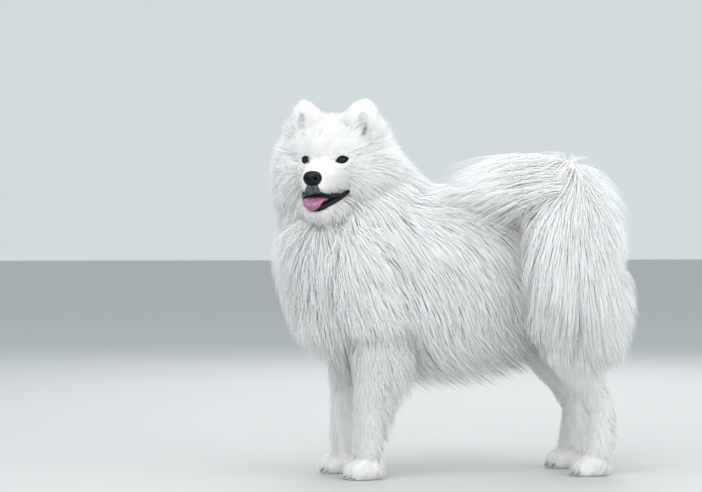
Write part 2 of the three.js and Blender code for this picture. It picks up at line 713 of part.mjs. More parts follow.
// Join the dog and part it with thin cuts.
const flesh = [
  solidOf(trunk.geometry(14, 9)),
  solidOf(neck.geometry(12, 6)),
  solidOf(breast.geometry(10, 5)),
  solidOf(tailRise.geometry(10, 5)),
  solidOf(tailPlume.geometry(12, 6)),
  ...Object.values(limbs).map((one) => solidOf(one.geometry(10, 6))),
  ...headSolids,
];
const paws = {
  forepaw_left: paw(FORE_X - 2, -FORE_Y, 78, 64, 46),
  forepaw_right: paw(FORE_X - 2 - FORE_AHEAD, FORE_Y, 78, 64, 46),
  hindpaw_left: paw(HIND_X - 2, -HIND_Y, 76, 62, 44),
  hindpaw_right: paw(HIND_X - 2 - HIND_AHEAD, HIND_Y, 76, 62, 44),
};
const floor = blockBeyond(vec(0, 0, 0), vec(0, 0, -1));
let whole = join([...flesh, ...Object.values(paws), ...coat]).subtract(floor(0));

const dog = new THREE.Group();
function addNode(name, solid, look) {
  const material = new THREE.MeshStandardMaterial(COLOURS[look]);
  const mesh = new THREE.Mesh(geometryOf(largest(solid)), material);
  mesh.name = name;
  dog.add(mesh);
}

// A region is cut out of the whole dog and becomes a node of its own.
function cutOut(name, region, look = "coat") {
  const [inside, outside] = part(whole, region);
  whole = outside;
  addNode(name, inside, look);
}

// Small parts sit in the head, each in a seat that is a gap larger.
const tongueSolid = (grow) => inHead(tongue.geometry(10, 7, 0, grow));
whole = whole.subtract(inHead(mouthWedge()));
const seats = [
  ["nose", nose(), noseSeat(GAP), "nose"],
  ["eye_left", inHead(eyeball(1, 0)), inHead(eyeball(1, GAP)), "eye"],
  ["eye_right", inHead(eyeball(-1, 0)), inHead(eyeball(-1, GAP)), "eye"],
  ["tongue", tongueSolid(0), tongueSolid(GAP), "tongue"],
  ["lip_upper", lip(UPPER_LIP, 3.4, 0), lip(UPPER_LIP, 3.4, GAP), "lips"],
  ["lip_lower", lip(LOWER_LIP, 3, 0), lip(LOWER_LIP, 3, GAP), "lips"],
  ["eyelid_left", inHead(eyelid(1, 0)), inHead(eyelid(1, GAP)), "lips"],
  ["eyelid_right", inHead(eyelid(-1, 0)), inHead(eyelid(-1, GAP)), "lips"],
];
seats.forEach(([name, solid, seat, look], index) => {
  const later = seats.slice(0, index).map((one) => one[2]);
  addNode(name, later.length ? solid.subtract(join(later)) : solid, look);
  whole = whole.subtract(seat);
});

// Regions, from the extremities inwards.
const trunkShell = (grow) => solidOf(trunk.geometry(14, 9, 0.8, grow));
// The room round the tail, as balls along it: x, y, z and radius. Its last two hold the spray of hair
// over the back.
const TAIL_SPACE = [
  [520, 10, 590, 72],
  [486, -20, 625, 78],
  [440, -70, 640, 92],
  [405, -128, 610, 112],
  [400, -170, 540, 112],
  [404, -188, 470, 116],
  [412, -196, 395, 110],
  [425, -200, 330, 98],
  [330, -70, 622, 70],
  [262, -62, 616, 66],
];
function tailRegion(grow) {
  const space = TAIL_SPACE.map(([x, y, z, radius]) =>
    solidOf(new THREE.IcosahedronGeometry(radius + grow, 1).translate(x, y, z)),
  );
  return join(space).subtract(trunkShell(GAP - grow));
}
const tailParts = part(whole, tailRegion);
whole = tailParts[1];
const tailBend = boxRegion(vec(418, -60, 540), vec(700, 200, 760));
const [tailBase, tailEnd] = part(tailParts[0], tailBend);
addNode("tail_base", tailBase, "coat");
addNode("tail_plume", tailEnd, "coat");

cutOut("ear_left", earRegion(1));
cutOut("ear_right", earRegion(-1));
cutOut("jaw", belowMouth);
const nape = vec(-78, 0, -46).applyMatrix4(headPlace);
cutOut("head", blockBeyond(nape, FACE_AHEAD.clone().multiplyScalar(0.55).add(vec(0, 0, 0.83))));
cutOut("neck", blockBeyond(vec(6, 0, 478), vec(-0.5, 0, 0.86)));

// A leg's region follows the leg, between two levels.
function legRegion(names, low, high, room) {
  return (grow) => {
    const space = join(names.map((name) => solidOf(limbs[name].geometry(12, 6, 1, room + grow))));
    const slab = boxRegion(vec(-400, -400, low), vec(900, 400, high))(grow);
    return space.intersect(slab);
  };
}

for (const [side, sign] of [["left", -1], ["right", 1]]) {
  const span = [Math.min(0, sign * 260), Math.max(0, sign * 260)];
  cutOut("forepaw_" + side, boxRegion(vec(-90, span[0], -10), vec(100, span[1], 50)));
  cutOut("hindpaw_" + side, boxRegion(vec(380, span[0], -10), vec(620, span[1], 48)));
  const front = sign < 0 ? -34 : -34 - FORE_AHEAD;
  const foreSpan = [Math.min(sign * 14, sign * 150), Math.max(sign * 14, sign * 150)];
  cutOut("foreleg_" + side, boxRegion(vec(front, foreSpan[0], 40), vec(170, foreSpan[1], 250)));
  cutOut("hock_" + side, legRegion(["hock_" + side, "shank_" + side], 20, 168, 16));
  cutOut("thigh_" + side, boxRegion(vec(330, span[0], 120), vec(680, span[1], 350)));
}
cutOut("hindquarters", blockBeyond(vec(292, 0, 400), vec(1, 0, 0)));
addNode("chest", whole, "coat");

const outline = new THREE.Box3().setFromObject(dog);
const middle = outline.getCenter(vec(0, 0, 0));
dog.position.set(-middle.x, -middle.y, -outline.min.z);

export default dog;
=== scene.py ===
import math

import bmesh
import bpy
import numpy as np
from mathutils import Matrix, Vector, kdtree


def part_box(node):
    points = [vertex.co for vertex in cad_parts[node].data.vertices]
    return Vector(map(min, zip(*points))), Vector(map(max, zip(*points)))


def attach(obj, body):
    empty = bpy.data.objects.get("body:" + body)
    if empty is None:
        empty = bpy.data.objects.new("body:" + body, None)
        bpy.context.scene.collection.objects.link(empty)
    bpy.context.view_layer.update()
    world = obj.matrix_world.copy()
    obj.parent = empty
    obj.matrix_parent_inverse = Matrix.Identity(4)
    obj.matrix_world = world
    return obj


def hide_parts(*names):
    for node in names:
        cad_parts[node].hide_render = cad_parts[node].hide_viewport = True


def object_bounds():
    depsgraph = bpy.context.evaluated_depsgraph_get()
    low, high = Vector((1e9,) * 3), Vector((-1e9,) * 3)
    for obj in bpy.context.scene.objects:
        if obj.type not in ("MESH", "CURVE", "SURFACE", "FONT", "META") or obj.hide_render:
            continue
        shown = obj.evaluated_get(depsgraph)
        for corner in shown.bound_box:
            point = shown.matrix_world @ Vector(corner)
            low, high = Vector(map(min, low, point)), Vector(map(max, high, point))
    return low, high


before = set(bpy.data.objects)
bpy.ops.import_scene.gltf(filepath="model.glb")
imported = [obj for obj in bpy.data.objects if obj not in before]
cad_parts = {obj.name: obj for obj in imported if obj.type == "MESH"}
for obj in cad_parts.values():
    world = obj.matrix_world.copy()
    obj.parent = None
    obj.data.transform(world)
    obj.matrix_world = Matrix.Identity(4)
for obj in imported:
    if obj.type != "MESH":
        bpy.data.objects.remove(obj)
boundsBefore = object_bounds()

# Sizes are millimetres in the dog's own frame, as in the solids: it faces -X, its left side faces -Y,
# x = 0 is midway between the front paws and z = 0 is the floor.
head = dict(eyes=(-76, -73, 637), turn=64, eyeSpacing=67, eyeRadius=11.5, eyeDepth=-3)
stance = dict(foreX=8, foreY=62, hindX=472, hindY=76, foreAhead=26, hindAhead=10)
coatDepth = dict(back=35, side=50, belly=98)
skinShare = 0.22  # of the coat's depth, filled by skin and wool
seed = 20

turn = math.radians(180 + head["turn"])
ahead = np.array([math.cos(turn), math.sin(turn), 0.0])
leftward = np.array([-math.sin(turn), math.cos(turn), 0.0])
upward = np.array([0.0, 0.0, 1.0])
eyesAt = np.array(head["eyes"], float)

eyeBoxes = [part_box(name) for name in ("eye_left", "eye_right")]
eyesMiddle = sum((low + high for low, high in eyeBoxes), Vector()) / 4
placing = np.array(eyesMiddle) * 1000 - (eyesAt + ahead * head["eyeDepth"])


def sideTurn(angle):
    # A turn about the upright axis.
    cos, sin = math.cos(angle), math.sin(angle)
    return np.array([[cos, -sin, 0], [sin, cos, 0], [0, 0, 1]])


def toWorld(points):
    return (np.asarray(points, float) + placing) / 1000


def fromHead(points):
    points = np.atleast_2d(np.asarray(points, float))
    return eyesAt + points[:, :1] * ahead + points[:, 1:2] * leftward + points[:, 2:3] * upward


def intoHead(points):
    offset = points - eyesAt
    return np.stack([offset @ ahead, offset @ leftward, offset @ upward], axis=1)


def unit(vectors):
    return vectors / (np.linalg.norm(vectors, axis=-1, keepdims=True) + 1e-9)


# Materials.


def linear(hexColour):
    channels = [int(hexColour[i : i + 2], 16) / 255 for i in (1, 3, 5)]
    return tuple(c / 12.92 if c <= 0.04045 else ((c + 0.055) / 1.055) ** 2.4 for c in channels) + (1.0,)


def addNode(tree, kind, settings=None, links=None):
    node = tree.nodes.new(kind)
    for name, value in (settings or {}).items():
        if name in node.inputs:
            node.inputs[name].default_value = value
        else:
            setattr(node, name, value)
    for name, socket in (links or {}).items():
        tree.links.new(socket, node.inputs[name])
    return node


def newMaterial(name, **settings):
    material = bpy.data.materials.new(name)
    material.use_nodes = True
    shader = material.node_tree.nodes["Principled BSDF"]
    for socket, value in settings.items():
        shader.inputs[socket].default_value = value
    return material, material.node_tree, shader


def noiseOf(tree, sizeMm, detail):
    # Noise of a given grain, on Object coordinates.
    place = addNode(tree, "ShaderNodeTexCoord")
    settings = {"Scale": 1000 / sizeMm, "Detail": detail}
    return addNode(tree, "ShaderNodeTexNoise", settings, {"Vector": place.outputs["Object"]})


def mottled(tree, shader, colours, sizeMm):
    # A slow change between two colours.
    noise = noiseOf(tree, sizeMm, 2.0)
    ramp = addNode(tree, "ShaderNodeValToRGB", links={"Fac": noise.outputs["Fac"]})
    ramp.color_ramp.elements[0].position = 0.35
    ramp.color_ramp.elements[1].position = 0.65
    ramp.color_ramp.elements[0].color = linear(colours[0])
    ramp.color_ramp.elements[1].color = linear(colours[1])
    tree.links.new(ramp.outputs["Color"], shader.inputs["Base Color"])


def grain(tree, shader, sizeMm, depthMm, strength=0.6):
    # Fine relief of a given size and depth.
    noise = noiseOf(tree, sizeMm, 3.0)
    bump = addNode(
        tree,
        "ShaderNodeBump",
        {"Distance": depthMm / 1000, "Strength": strength},
        {"Height": noise.outputs["Fac"]},
    )
    tree.links.new(bump.outputs["Normal"], shader.inputs["Normal"])


def guardHair():
    # White hair with a faint cream warmth: rough, with a soft sheen along its edges, and light goes a few
    # millimetres into it.
    material, tree, shader = newMaterial("guardHair", Roughness=0.75)
    shader.inputs["Specular IOR Level"].default_value = 0.22
    shader.inputs["Sheen Weight"].default_value = 0.25
    shader.inputs["Subsurface Weight"].default_value = 0.3
    shader.inputs["Subsurface Radius"].default_value = (0.004, 0.004, 0.004)
    shader.inputs["Subsurface Scale"].default_value = 1.0
    mottled(tree, shader, ("#F9F9F8", "#FEFEFE"), 60)
    return material


def woolAndSkin():
    # The woolly undercoat on the skin, which the guard hair hides almost everywhere.
    material, tree, shader = newMaterial("undercoatWool", Roughness=0.9)
    mottled(tree, shader, ("#F6F5F2", "#FDFCFA"), 9)
    grain(tree, shader, 2.5, 1.5)
    return material


def wetLeather(name, colour, roughness):
    # Bare black skin of nose, lips and lids: pebbled and moist.
    material, tree, shader = newMaterial(name, Roughness=roughness)
    shader.inputs["Base Color"].default_value = linear(colour)
    shader.inputs["Coat Weight"].default_value = 0.1
    shader.inputs["Specular IOR Level"].default_value = 0.2
    shader.inputs["Coat Roughness"].default_value = 0.18
    grain(tree, shader, 1.4, 0.35, 0.7)
    return material


def eyeGlass(name, colour):
    # The cornea over a dark iris: a clear wet surface with sharp highlights.
    material, _, shader = newMaterial(name, Roughness=0.06)
    shader.inputs["Base Color"].default_value = linear(colour)
    shader.inputs["Coat Weight"].default_value = 0.4
    shader.inputs["Coat Roughness"].default_value = 0.03
    shader.inputs["Specular IOR Level"].default_value = 0.25
    return material


def wetTongue():
    # Moist muscle with fine papillae.
    material, tree, shader = newMaterial("wetTongue", Roughness=0.32)
    mottled(tree, shader, ("#96597C", "#AC7294"), 7)
    shader.inputs["Subsurface Weight"].default_value = 0.1
    shader.inputs["Subsurface Radius"].default_value = (0.004, 0.0015, 0.001)
    grain(tree, shader, 1.1, 0.3)
    return material


def plainSkin(name, colours, sizeMm, roughness):
    # Bare skin or horn of two mingled colours, with a fine grain.
    material, tree, shader = newMaterial(name, Roughness=roughness)
    mottled(tree, shader, colours, sizeMm)
    grain(tree, shader, 1.8, 0.3)
    return material


hairMaterial = guardHair()
skinMaterial = woolAndSkin()
noseMaterial = wetLeather("noseLeather", "#07080B", 0.38)
lipMaterial = wetLeather("lipSkin", "#0C0B0D", 0.36)
lipFrontMaterial = plainSkin("lipFrontSkin", ("#30353B", "#5C6269"), 5, 0.55)  # thin, grey and dull
eyeMaterial = eyeGlass("eyeIris", "#1D0F08")
pupilMaterial = eyeGlass("eyePupil", "#020203")
tongueMaterial = wetTongue()
earShadedSkinMaterial = plainSkin("innerEarSkinPaintedShade", ("#5E463F", "#7A5C53"), 12, 0.7)  # pinkish brown skin, darkened with painted shade of the ear's hollow
mouthShadedLiningMaterial = plainSkin("mouthLiningPaintedShade", ("#0B0708", "#1B0F12"), 8, 0.5)  # dark lining, coloured near black with painted shade deep in the mouth
clawMaterial = plainSkin("clawHorn", ("#57504A", "#7C7268"), 3, 0.35)  # smooth grey-brown horn
print("materials made")


# Meshes from arrays.


def newObject(name, mesh, material, smooth=True):
    mesh.materials.append(material)
    mesh.polygons.foreach_set("use_smooth", np.full(len(mesh.polygons), smooth))
    mesh.update()
    made = bpy.data.objects.new(name, mesh)
    bpy.context.scene.collection.objects.link(made)
    return made


def addPiece(name, mesh, material, slot, *nodes):
    made = newObject(name, mesh, material)
    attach(made, "root")
    if nodes:
        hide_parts(*nodes)


def meshOf(name, vertices, faces):
    mesh = bpy.data.meshes.new(name)
    mesh.from_pydata(np.asarray(vertices).tolist(), [], faces)
    mesh.update()
    return mesh


def joined(parts):
    vertices, faces, start = [], [], 0
    for points, sides in parts:
        vertices.append(points)
        faces.extend([[i + start for i in side] for side in sides])
        start += len(points)
    return np.concatenate(vertices), faces


def ringFaces(rings, sides):
    # Faces over rings of points that close on the two points after them.
    faces = []
    for ring in range(rings - 1):
        for k in range(sides):
            a, b = ring * sides + k, ring * sides + (k + 1) % sides
            faces.append([a, b, b + sides, a + sides])
    last, total = (rings - 1) * sides, rings * sides
    for k in range(sides):
        faces.append([(k + 1) % sides, k, total])
        faces.append([last + k, last + (k + 1) % sides, total + 1])
    return faces


def smoothLine(points, t):
    # A curve through the points, at shares t of the way.
    points = np.asarray(points, float)
    padded = np.concatenate([[2 * points[0] - points[1]], points, [2 * points[-1] - points[-2]]])
    place = np.clip(np.asarray(t, float), 0, 1) * (len(points) - 1)
    index = np.minimum(place.astype(int), len(points) - 2)
    u = (place - index)[:, None]
    p0, p1, p2, p3 = (padded[index + k] for k in range(4))
    return 0.5 * (
        2 * p1 + (p2 - p0) * u + (2 * p0 - 5 * p1 + 4 * p2 - p3) * u**2 + (3 * p1 - p0 - 3 * p2 + p3) * u**3
    )


class Body:
    # A rounded body along a bent line: stations of x, y, z, half width, half height and coat depth.
    def __init__(
        self, stations, up=(0, 0, 1), caps=(0.2, 0.2), square=2.0, depthAt=None, inHead=False, **hair
    ):
        table = np.array([list(station) + [0] * (6 - len(station)) for station in stations], float)
        if inHead:
            table[:, :3] = fromHead(table[:, :3])
        self.line, self.sizes = table[:, :3], table[:, 3:]
        self.up, self.caps, self.square = np.array(up, float), caps, square
        self.depthAt = depthAt or (lambda angle, t: np.ones_like(angle))
        self.hair = hair
        steps = np.linspace(0, 1, 40)
        self.steps = steps
        self.centres, self.along, self.across, self.upright = self.frames(steps)
        self.stepSizes = smoothLine(self.sizes, steps)

    def frames(self, t):
        small = 0.004
        centres = smoothLine(self.line, t)
        after, before = np.minimum(t + small, 1), np.maximum(t - small, 0)
        along = unit(smoothLine(self.line, after) - smoothLine(self.line, before))
        across = unit(np.cross(self.up, along))
        return centres, along, across, np.cross(along, across)

    def roundEnd(self, t):
        nearest = np.minimum(np.minimum(t / self.caps[0], (1 - t) / self.caps[1]), 1)
        return np.sqrt(np.maximum(0, 1 - (1 - nearest) ** 2))

    def at(self, t, angle, share):
        centres, _, across, upright = self.frames(t)
        size = smoothLine(self.sizes, t)
        cos, sin = np.cos(angle), np.sin(angle)
        corner = (np.abs(cos) ** self.square + np.abs(sin) ** self.square) ** (-1 / self.square)
        cover = size[:, 2] * self.depthAt(angle, t) * share
        end = self.roundEnd(t)
        wide = (cos * corner * (size[:, 0] + cover) * end)[:, None]
        tall = (sin * corner * (size[:, 1] + cover) * end)[:, None]
        return centres + across * wide + upright * tall

    def tube(self, sides, rings, share=0.0):
        # A closed surface round the body, with a share of the coat's depth over the flesh.
        spread = (1 - np.cos(np.pi * np.linspace(0, 1, rings))) / 2
        t = np.repeat(spread[1:-1], sides)
        angle = np.tile(np.arange(sides) * 2 * np.pi / sides, rings - 2)
        body = self.at(t, angle, share)
        ends = self.frames(np.array([0.0, 1.0]))[0]
        return np.concatenate([body, ends]), ringFaces(rings - 2, sides)

    def near(self, points):
        # By the nearest station: share, angle, how far outside, coat depth, the way along, and girth.
        distance = ((points[:, None] - self.centres[None]) ** 2).sum(2)
        k = distance.argmin(1)
        offset = points - self.centres[k]
        level = (offset * self.across[k]).sum(1)
        high = (offset * self.upright[k]).sum(1)
        angle = np.arctan2(high, level)
        t = self.steps[k]
        size = self.stepSizes[k]
        cover = size[:, 2] * self.depthAt(angle, t) * skinShare
        ratio = np.sqrt((level / (size[:, 0] + cover)) ** 2 + (high / (size[:, 1] + cover)) ** 2)
        beyond = np.abs((offset * self.along[k]).sum(1)) * ((k == 0) | (k == len(self.steps) - 1))
        outside = np.maximum(0, ratio - 1) * np.sqrt(size[:, 0] * size[:, 1]) + beyond
        depth = size[:, 2] * self.depthAt(angle, t)
        return t, angle, outside, depth, self.along[k], np.sqrt(size[:, 0] * size[:, 1]) + cover


# The flesh, in rounded bodies like those in the solids.


def trunkDepth(angle, t):
    high = np.sin(angle)
    most = np.where(high > 0, coatDepth["back"], coatDepth["belly"])
    return 1 + (most / coatDepth["side"] - 1) * high**2


def towards(*way):
    return lambda p, n: np.tile(np.array(way, float), (len(p), 1))


headCentre = fromHead([-52, 0, 0])[0]


def trunkLie(p, n):
    # Backwards along the back, and ever more downwards on the flank.
    backward = 0.22 + 0.5 * np.clip((p[:, 2] - 350) / 200, 0, 1)
    return np.stack([backward, 0 * n[:, 0], np.where(n[:, 2] < -0.6, -0.3, -0.75)], 1)


def neckLie(p, n):
    return np.array([0.1, 0, -1.0]) + 0.35 * unit(p - headCentre)


def ruffLie(p, n):
    return unit(p - headCentre) - 0.6 * ahead + np.array([0, 0, -1.0])


def cheekLie(p, n):
    return 0.9 * unit(p - fromHead([40, 0, -30])[0]) - 0.5 * ahead + np.array([0, 0, -0.25])


def muzzleLie(p, n):
    return -1.0 * ahead + 0.25 * unit(p - fromHead([40, 0, -40])[0]) + np.array([0, 0, -0.12])


def crownLie(p, n):
    return -1.0 * ahead + np.array([0, 0, 0.25]) + 0.2 * unit(p - fromHead([0, 0, 20])[0])


def thighLie(p, n):
    # As on the flank above, then down the leg.
    high = np.clip((p[:, 2] - 340) / 100, 0, 1)
    return np.stack([0.3 + 0.3 * n[:, 0] + 0.35 * high, 0 * n[:, 0], np.full(len(p), -0.95)], 1)


def riseLie(p, n):
    # Forward over the top, and down behind.
    behind = np.clip((n[:, :1] - 0.45) / 0.4, 0, 1)
    return behind * np.array([[0.25, 0.1, -1.0]]) + (1 - behind) * np.array([[-0.9, -0.3, 0.1]])


def plumeLie(p, n):
    # Forward at the top, falling away in a fan to straight down.
    high = np.clip((p[:, 2] - 520) / 95, 0, 1) * np.clip((440 - p[:, 0]) / 70, 0, 1)
    inwards = 0.3 * np.clip((460 - p[:, 2]) / 90, 0, 1) - 0.06
    hang = np.stack([(p[:, 0] - 405) / 170, inwards, np.full(len(p), -1.0)], 1)
    return (1 - high)[:, None] * hang + high[:, None] * np.array([[-1.1, -0.1, -0.1]])


def legLie(p, n):
    behind = np.clip(n[:, 0], 0, 1)
    return np.stack([0.15 + 0.6 * behind, 0 * behind, np.full(len(p), -1.0)], 1)


def rearHair(share):
    return lambda angle, t: 1 - share - share * np.sin(angle)


def featherDepth(angle, t):
    # The back of the upper foreleg carries long feathering.
    behind = np.clip(-np.sin(angle), 0, 1) ** 2
    return 1 + 2.6 * behind * np.clip(1 - np.abs(t - 0.36) / 0.42, 0, 1)


forward = (-1, 0, 0)
long = dict(width=1.6, density=1.0, extra=18)
short = dict(width=1.3, density=2.2, extra=15)
face = dict(width=1.0, density=4.2, extra=6)

bodies = {
    "trunk": Body(
        [
            (-88, 0, 432, 36, 40, 60),
            (-48, 0, 434, 70, 84, 62),
            (20, 0, 438, 92, 116, 54),
            (110, 0, 432, 103, 126, 50),
            (210, 0, 440, 102, 116, 50),
            (310, 0, 455, 91, 98, 50),
            (400, 0, 460, 90, 90, 50),
            (468, 0, 452, 84, 84, 50),
            (520, 0, 436, 60, 62, 58),
        ],
        caps=(0.1, 0.12),
        depthAt=trunkDepth,
        lie=trunkLie,
        **long,
    ),
    "neck": Body(
        [
            (62, 0, 425, 86, 90, 40),
            (26, 8, 490, 84, 96, 66),
            (-14, 18, 560, 74, 88, 82),
            (-36, 14, 622, 60, 74, 82),
            (-46, 2, 666, 46, 56, 44),
        ],
        up=forward,
        caps=(0.12, 0.3),
        lie=neckLie,
        **long,
    ),
    "breast": Body(
        [
            (-50, 4, 536, 68, 48, 72),
            (-64, 0, 450, 72, 42, 68),
            (-54, 0, 370, 64, 38, 58),
            (-34, 0, 300, 46, 32, 50),
        ],
        up=forward,
        caps=(0.25, 0.25),
        lie=towards(0.12, 0, -1),
        **long,
    ),
    "tailRise": Body(
        [
            (480, 6, 500, 28, 28, 26),
            (460, 2, 540, 26, 27, 28),
            (420, -18, 584, 24, 28, 24),
            (390, -52, 609, 24, 30, 26),
        ],
        up=forward,
        caps=(0.1, 0.3),
        lie=riseLie,
        **{**long, "extra": 34, "density": 1.4},
    ),
    "tailPlume": Body(
        [
            (386, -46, 620, 24, 34, 30),
            (379, -104, 611, 20, 46, 40),
            (404, -148, 545, 13, 46, 50),
            (408, -166, 460, 11, 38, 46),
            (420, -170, 380, 8, 26, 36),
        ],
        up=forward,
        caps=(0.25, 0.3),
        depthAt=lambda angle, t: 0.7 + 0.6 * np.sin(angle) ** 2,
        lie=plumeLie,
        **{**long, "extra": lambda t: 45 + 90 * np.clip((t - 0.55) / 0.3, 0, 1), "density": 1.2},
    ),
    "ruff": Body(
        [
            (-26, 0, 0, 78, 74, 58),
            (-62, 0, -6, 84, 82, 78),
            (-100, 0, -18, 72, 76, 82),
            (-136, 0, -46, 52, 56, 70),
        ],
        caps=(0.12, 0.3),
        depthAt=lambda angle, t: 1 - 0.78 * np.maximum(0, np.sin(angle)) ** 2,
        inHead=True,
        lie=ruffLie,
        **{**long, "extra": 38, "density": 1.35},
    ),
    "muzzle": Body(
        [
            (-34, 0, -20, 62, 44, 12),
            (0, 0, -29, 48, 38, 8),
            (26, 0, -37, 35, 32.5, 4),
            (52, 0, -43, 28, 27, 3),
            (76, 0, -45, 24, 23, 2.5),
            (88, 0, -46, 17, 17, 2),
        ],
        caps=(0.1, 0.12),
        square=2.5,
        inHead=True,
        lie=muzzleLie,
        **face,
    ),
    "jaw": Body(
        [
            (-58, 0, -66, 48, 28, 30),
            (-5, 0, -82, 41, 22, 16),
            (35, 0, -98, 27, 17, 9),
            (68, 0, -108, 17, 12, 7),
        ],
        caps=(0.15, 0.2),
        square=2.4,
        inHead=True,
        lie=cheekLie,
        **face,
    ),
}


def ballBody(centre, half, depth, **settings):
    # A ball as a short body with round ends.
    x, y, z = centre
    stations = [(x + half[0] * k, y, z, half[1], half[2], depth) for k in (-1, -0.5, 0, 0.5, 1)]
    return Body(stations, caps=(0.5, 0.5), **settings)


crownHair = dict(inHead=True, lie=crownLie, **face)
cheekHair = dict(inHead=True, lie=cheekLie, **{**face, "density": 3.2})
bodies["crown"] = ballBody((-52, 0, 10), (70, 80, 60), 13, **crownHair)
for side, name in ((1, "left"), (-1, "right")):
    bodies["cheek_" + name] = ballBody((-46, side * 48, -26), (50, 44, 46), 31, **cheekHair)
    bodies["brow_" + name] = ballBody((-19, side * 25, 16), (24, 20, 14), 6, **crownHair)

ears = dict(height=80, shift=5)  # both are moved to the dog's left, as the head tilts


def earFacing(side):
    return tuple(ahead + side * 0.35 * leftward)


def earOuter(side):
    return Body(
        [
            (-46, side * 50 + ears["shift"], 38, 40, 23, 8),
            (-46, side * 55 + ears["shift"], 38 + ears["height"] * 0.35, 37, 18, 6),
            (-44, side * 61 + ears["shift"], 38 + ears["height"] * 0.7, 30, 13, 4),
            (-42, side * 65 + ears["shift"], 38 + ears["height"], 18, 8, 3),
        ],
        up=earFacing(side),
        caps=(0.08, 0.2),
        inHead=True,
        lie=lambda p, n: np.tile(upward + 0.2 * side * leftward - 0.15 * ahead, (len(p), 1)),
        **{**face, "extra": 4},
    )


def earCup(side):
    return Body(
        [
            (-19, side * 61 + ears["shift"], 44, 20, 14),
            (-24, side * 64 + ears["shift"], 44 + ears["height"] * 0.35, 17, 13),
            (-31, side * 66 + ears["shift"], 44 + ears["height"] * 0.68, 9, 8),
        ],
        up=earFacing(side),
        caps=(0.3, 0.4),
        inHead=True,
    )


bodies["ear_left"], bodies["ear_right"] = earOuter(1), earOuter(-1)

legs = {
    "shoulder": [
        (8, -62, 505, 34, 52, 46),
        (0, -78, 430, 40, 62, 44),
        (22, -80, 345, 38, 52, 38),
        (34, -76, 285, 30, 38, 26),
    ],
    "foreleg": [
        (30, -76, 330, 34, 42, 24),
        (26, -72, 260, 28, 34, 16),
        (18, -67, 170, 22, 25, 10),
        (14, -64, 92, 20, 22, 10),
        (10, -62, 36, 20, 21, 10),
    ],
    "thigh": [
        (450, -56, 470, 32, 56, 30),
        (434, -74, 400, 42, 77, 54),
        (418, -84, 330, 40, 71, 60),
        (412, -82, 266, 32, 52, 54),
    ],
    "shank": [
        (396, -82, 300, 32, 44, 26),
        (430, -79, 236, 28, 38, 18),
        (466, -76, 178, 20, 25, 12),
        (484, -76, 138, 18, 21, 10),
    ],
    "hock": [
        (478, -76, 172, 15, 18, 10),
        (488, -76, 140, 17, 20, 10),
        (490, -76, 90, 17, 20, 11),
        (484, -76, 34, 20, 23, 11),
    ],
}
legLook = {
    "shoulder": dict(caps=(0.3, 0.25), lie=towards(0.4, 0, -0.92), **long),
    "foreleg": dict(caps=(0.12, 0.1), lie=legLie, depthAt=featherDepth, **short),
    "thigh": dict(caps=(0.3, 0.25), lie=thighLie, depthAt=rearHair(0.28), **long),
    "shank": dict(caps=(0.2, 0.15), lie=legLie, depthAt=rearHair(0.4), **short),
    "hock": dict(caps=(0.15, 0.1), lie=legLie, **short),
}
for name, stations in legs.items():
    for side, sign in (("left", 1), ("right", -1)):
        # The right legs stand further ahead, by ever more from the shoulder down.
        lead = stance["foreAhead"] if name in ("shoulder", "foreleg") else stance["hindAhead"]
        lead = 0 if side == "left" else lead
        moved = []
        for x, y, z, *sizes in stations:
            moved.append((x - lead * min(max((520 - z) / 250, 0), 1), sign * y, z, *sizes))
        bodies[name + "_" + side] = Body(moved, up=forward, **legLook[name])

paws = {
    "forepaw_left": (stance["foreX"] - 2, -stance["foreY"], 78, 64, 46),
    "forepaw_right": (stance["foreX"] - 2 - stance["foreAhead"], stance["foreY"], 78, 64, 46),
    "hindpaw_left": (stance["hindX"] - 2, -stance["hindY"], 76, 62, 44),
    "hindpaw_right": (stance["hindX"] - 2 - stance["hindAhead"], stance["hindY"], 76, 62, 44),
}
pawHair = dict(lie=towards(-0.75, 0, -0.55), width=1.1, density=2.8, extra=4)
toes = []
for name, (x, y, size, wide, tall) in paws.items():
    bodies[name] = ballBody((x + 4, y, tall * 0.42), (size * 0.42, wide * 0.46, tall * 0.6), 7, **pawHair)
    for place in (-1.5, -0.5, 0.5, 1.5):
        inner = abs(place) < 1
        toe = (x - size * (0.3 if inner else 0.2), y + place * wide * 0.235, tall * 0.36)
        half = (size * 0.21, wide * 0.145, tall * 0.38)
        toes.append((toe, half))
        bodies[f"{name}_toe{place}"] = ballBody(toe, half, 4, **pawHair)
print("bodies defined")


# The skin: all bodies joined into one surface, with mouth and ears cut in and lids folded round the eyes.

skinMesh = dict(voxel=0.0041, smoothing=5)  # metres, and rounds of smoothing


def remeshed(name, mesh):
    made = bpy.data.objects.new(name, mesh)
    bpy.context.scene.collection.objects.link(made)
    remesh = made.modifiers.new("join", "REMESH")
    remesh.mode = "VOXEL"
    remesh.voxel_size = skinMesh["voxel"]
    relax = made.modifiers.new("relax", "SMOOTH")
    relax.factor = 0.5
    relax.iterations = skinMesh["smoothing"]
    return made


def applied(made):
    # The shape with its modifiers, as a plain mesh.
    evaluated = made.evaluated_get(bpy.context.evaluated_depsgraph_get())
    mesh = bpy.data.meshes.new_from_object(evaluated)
    made.modifiers.clear()
    made.data = mesh
    return made


mouth = dict(corner=(-17, -50), width=150)


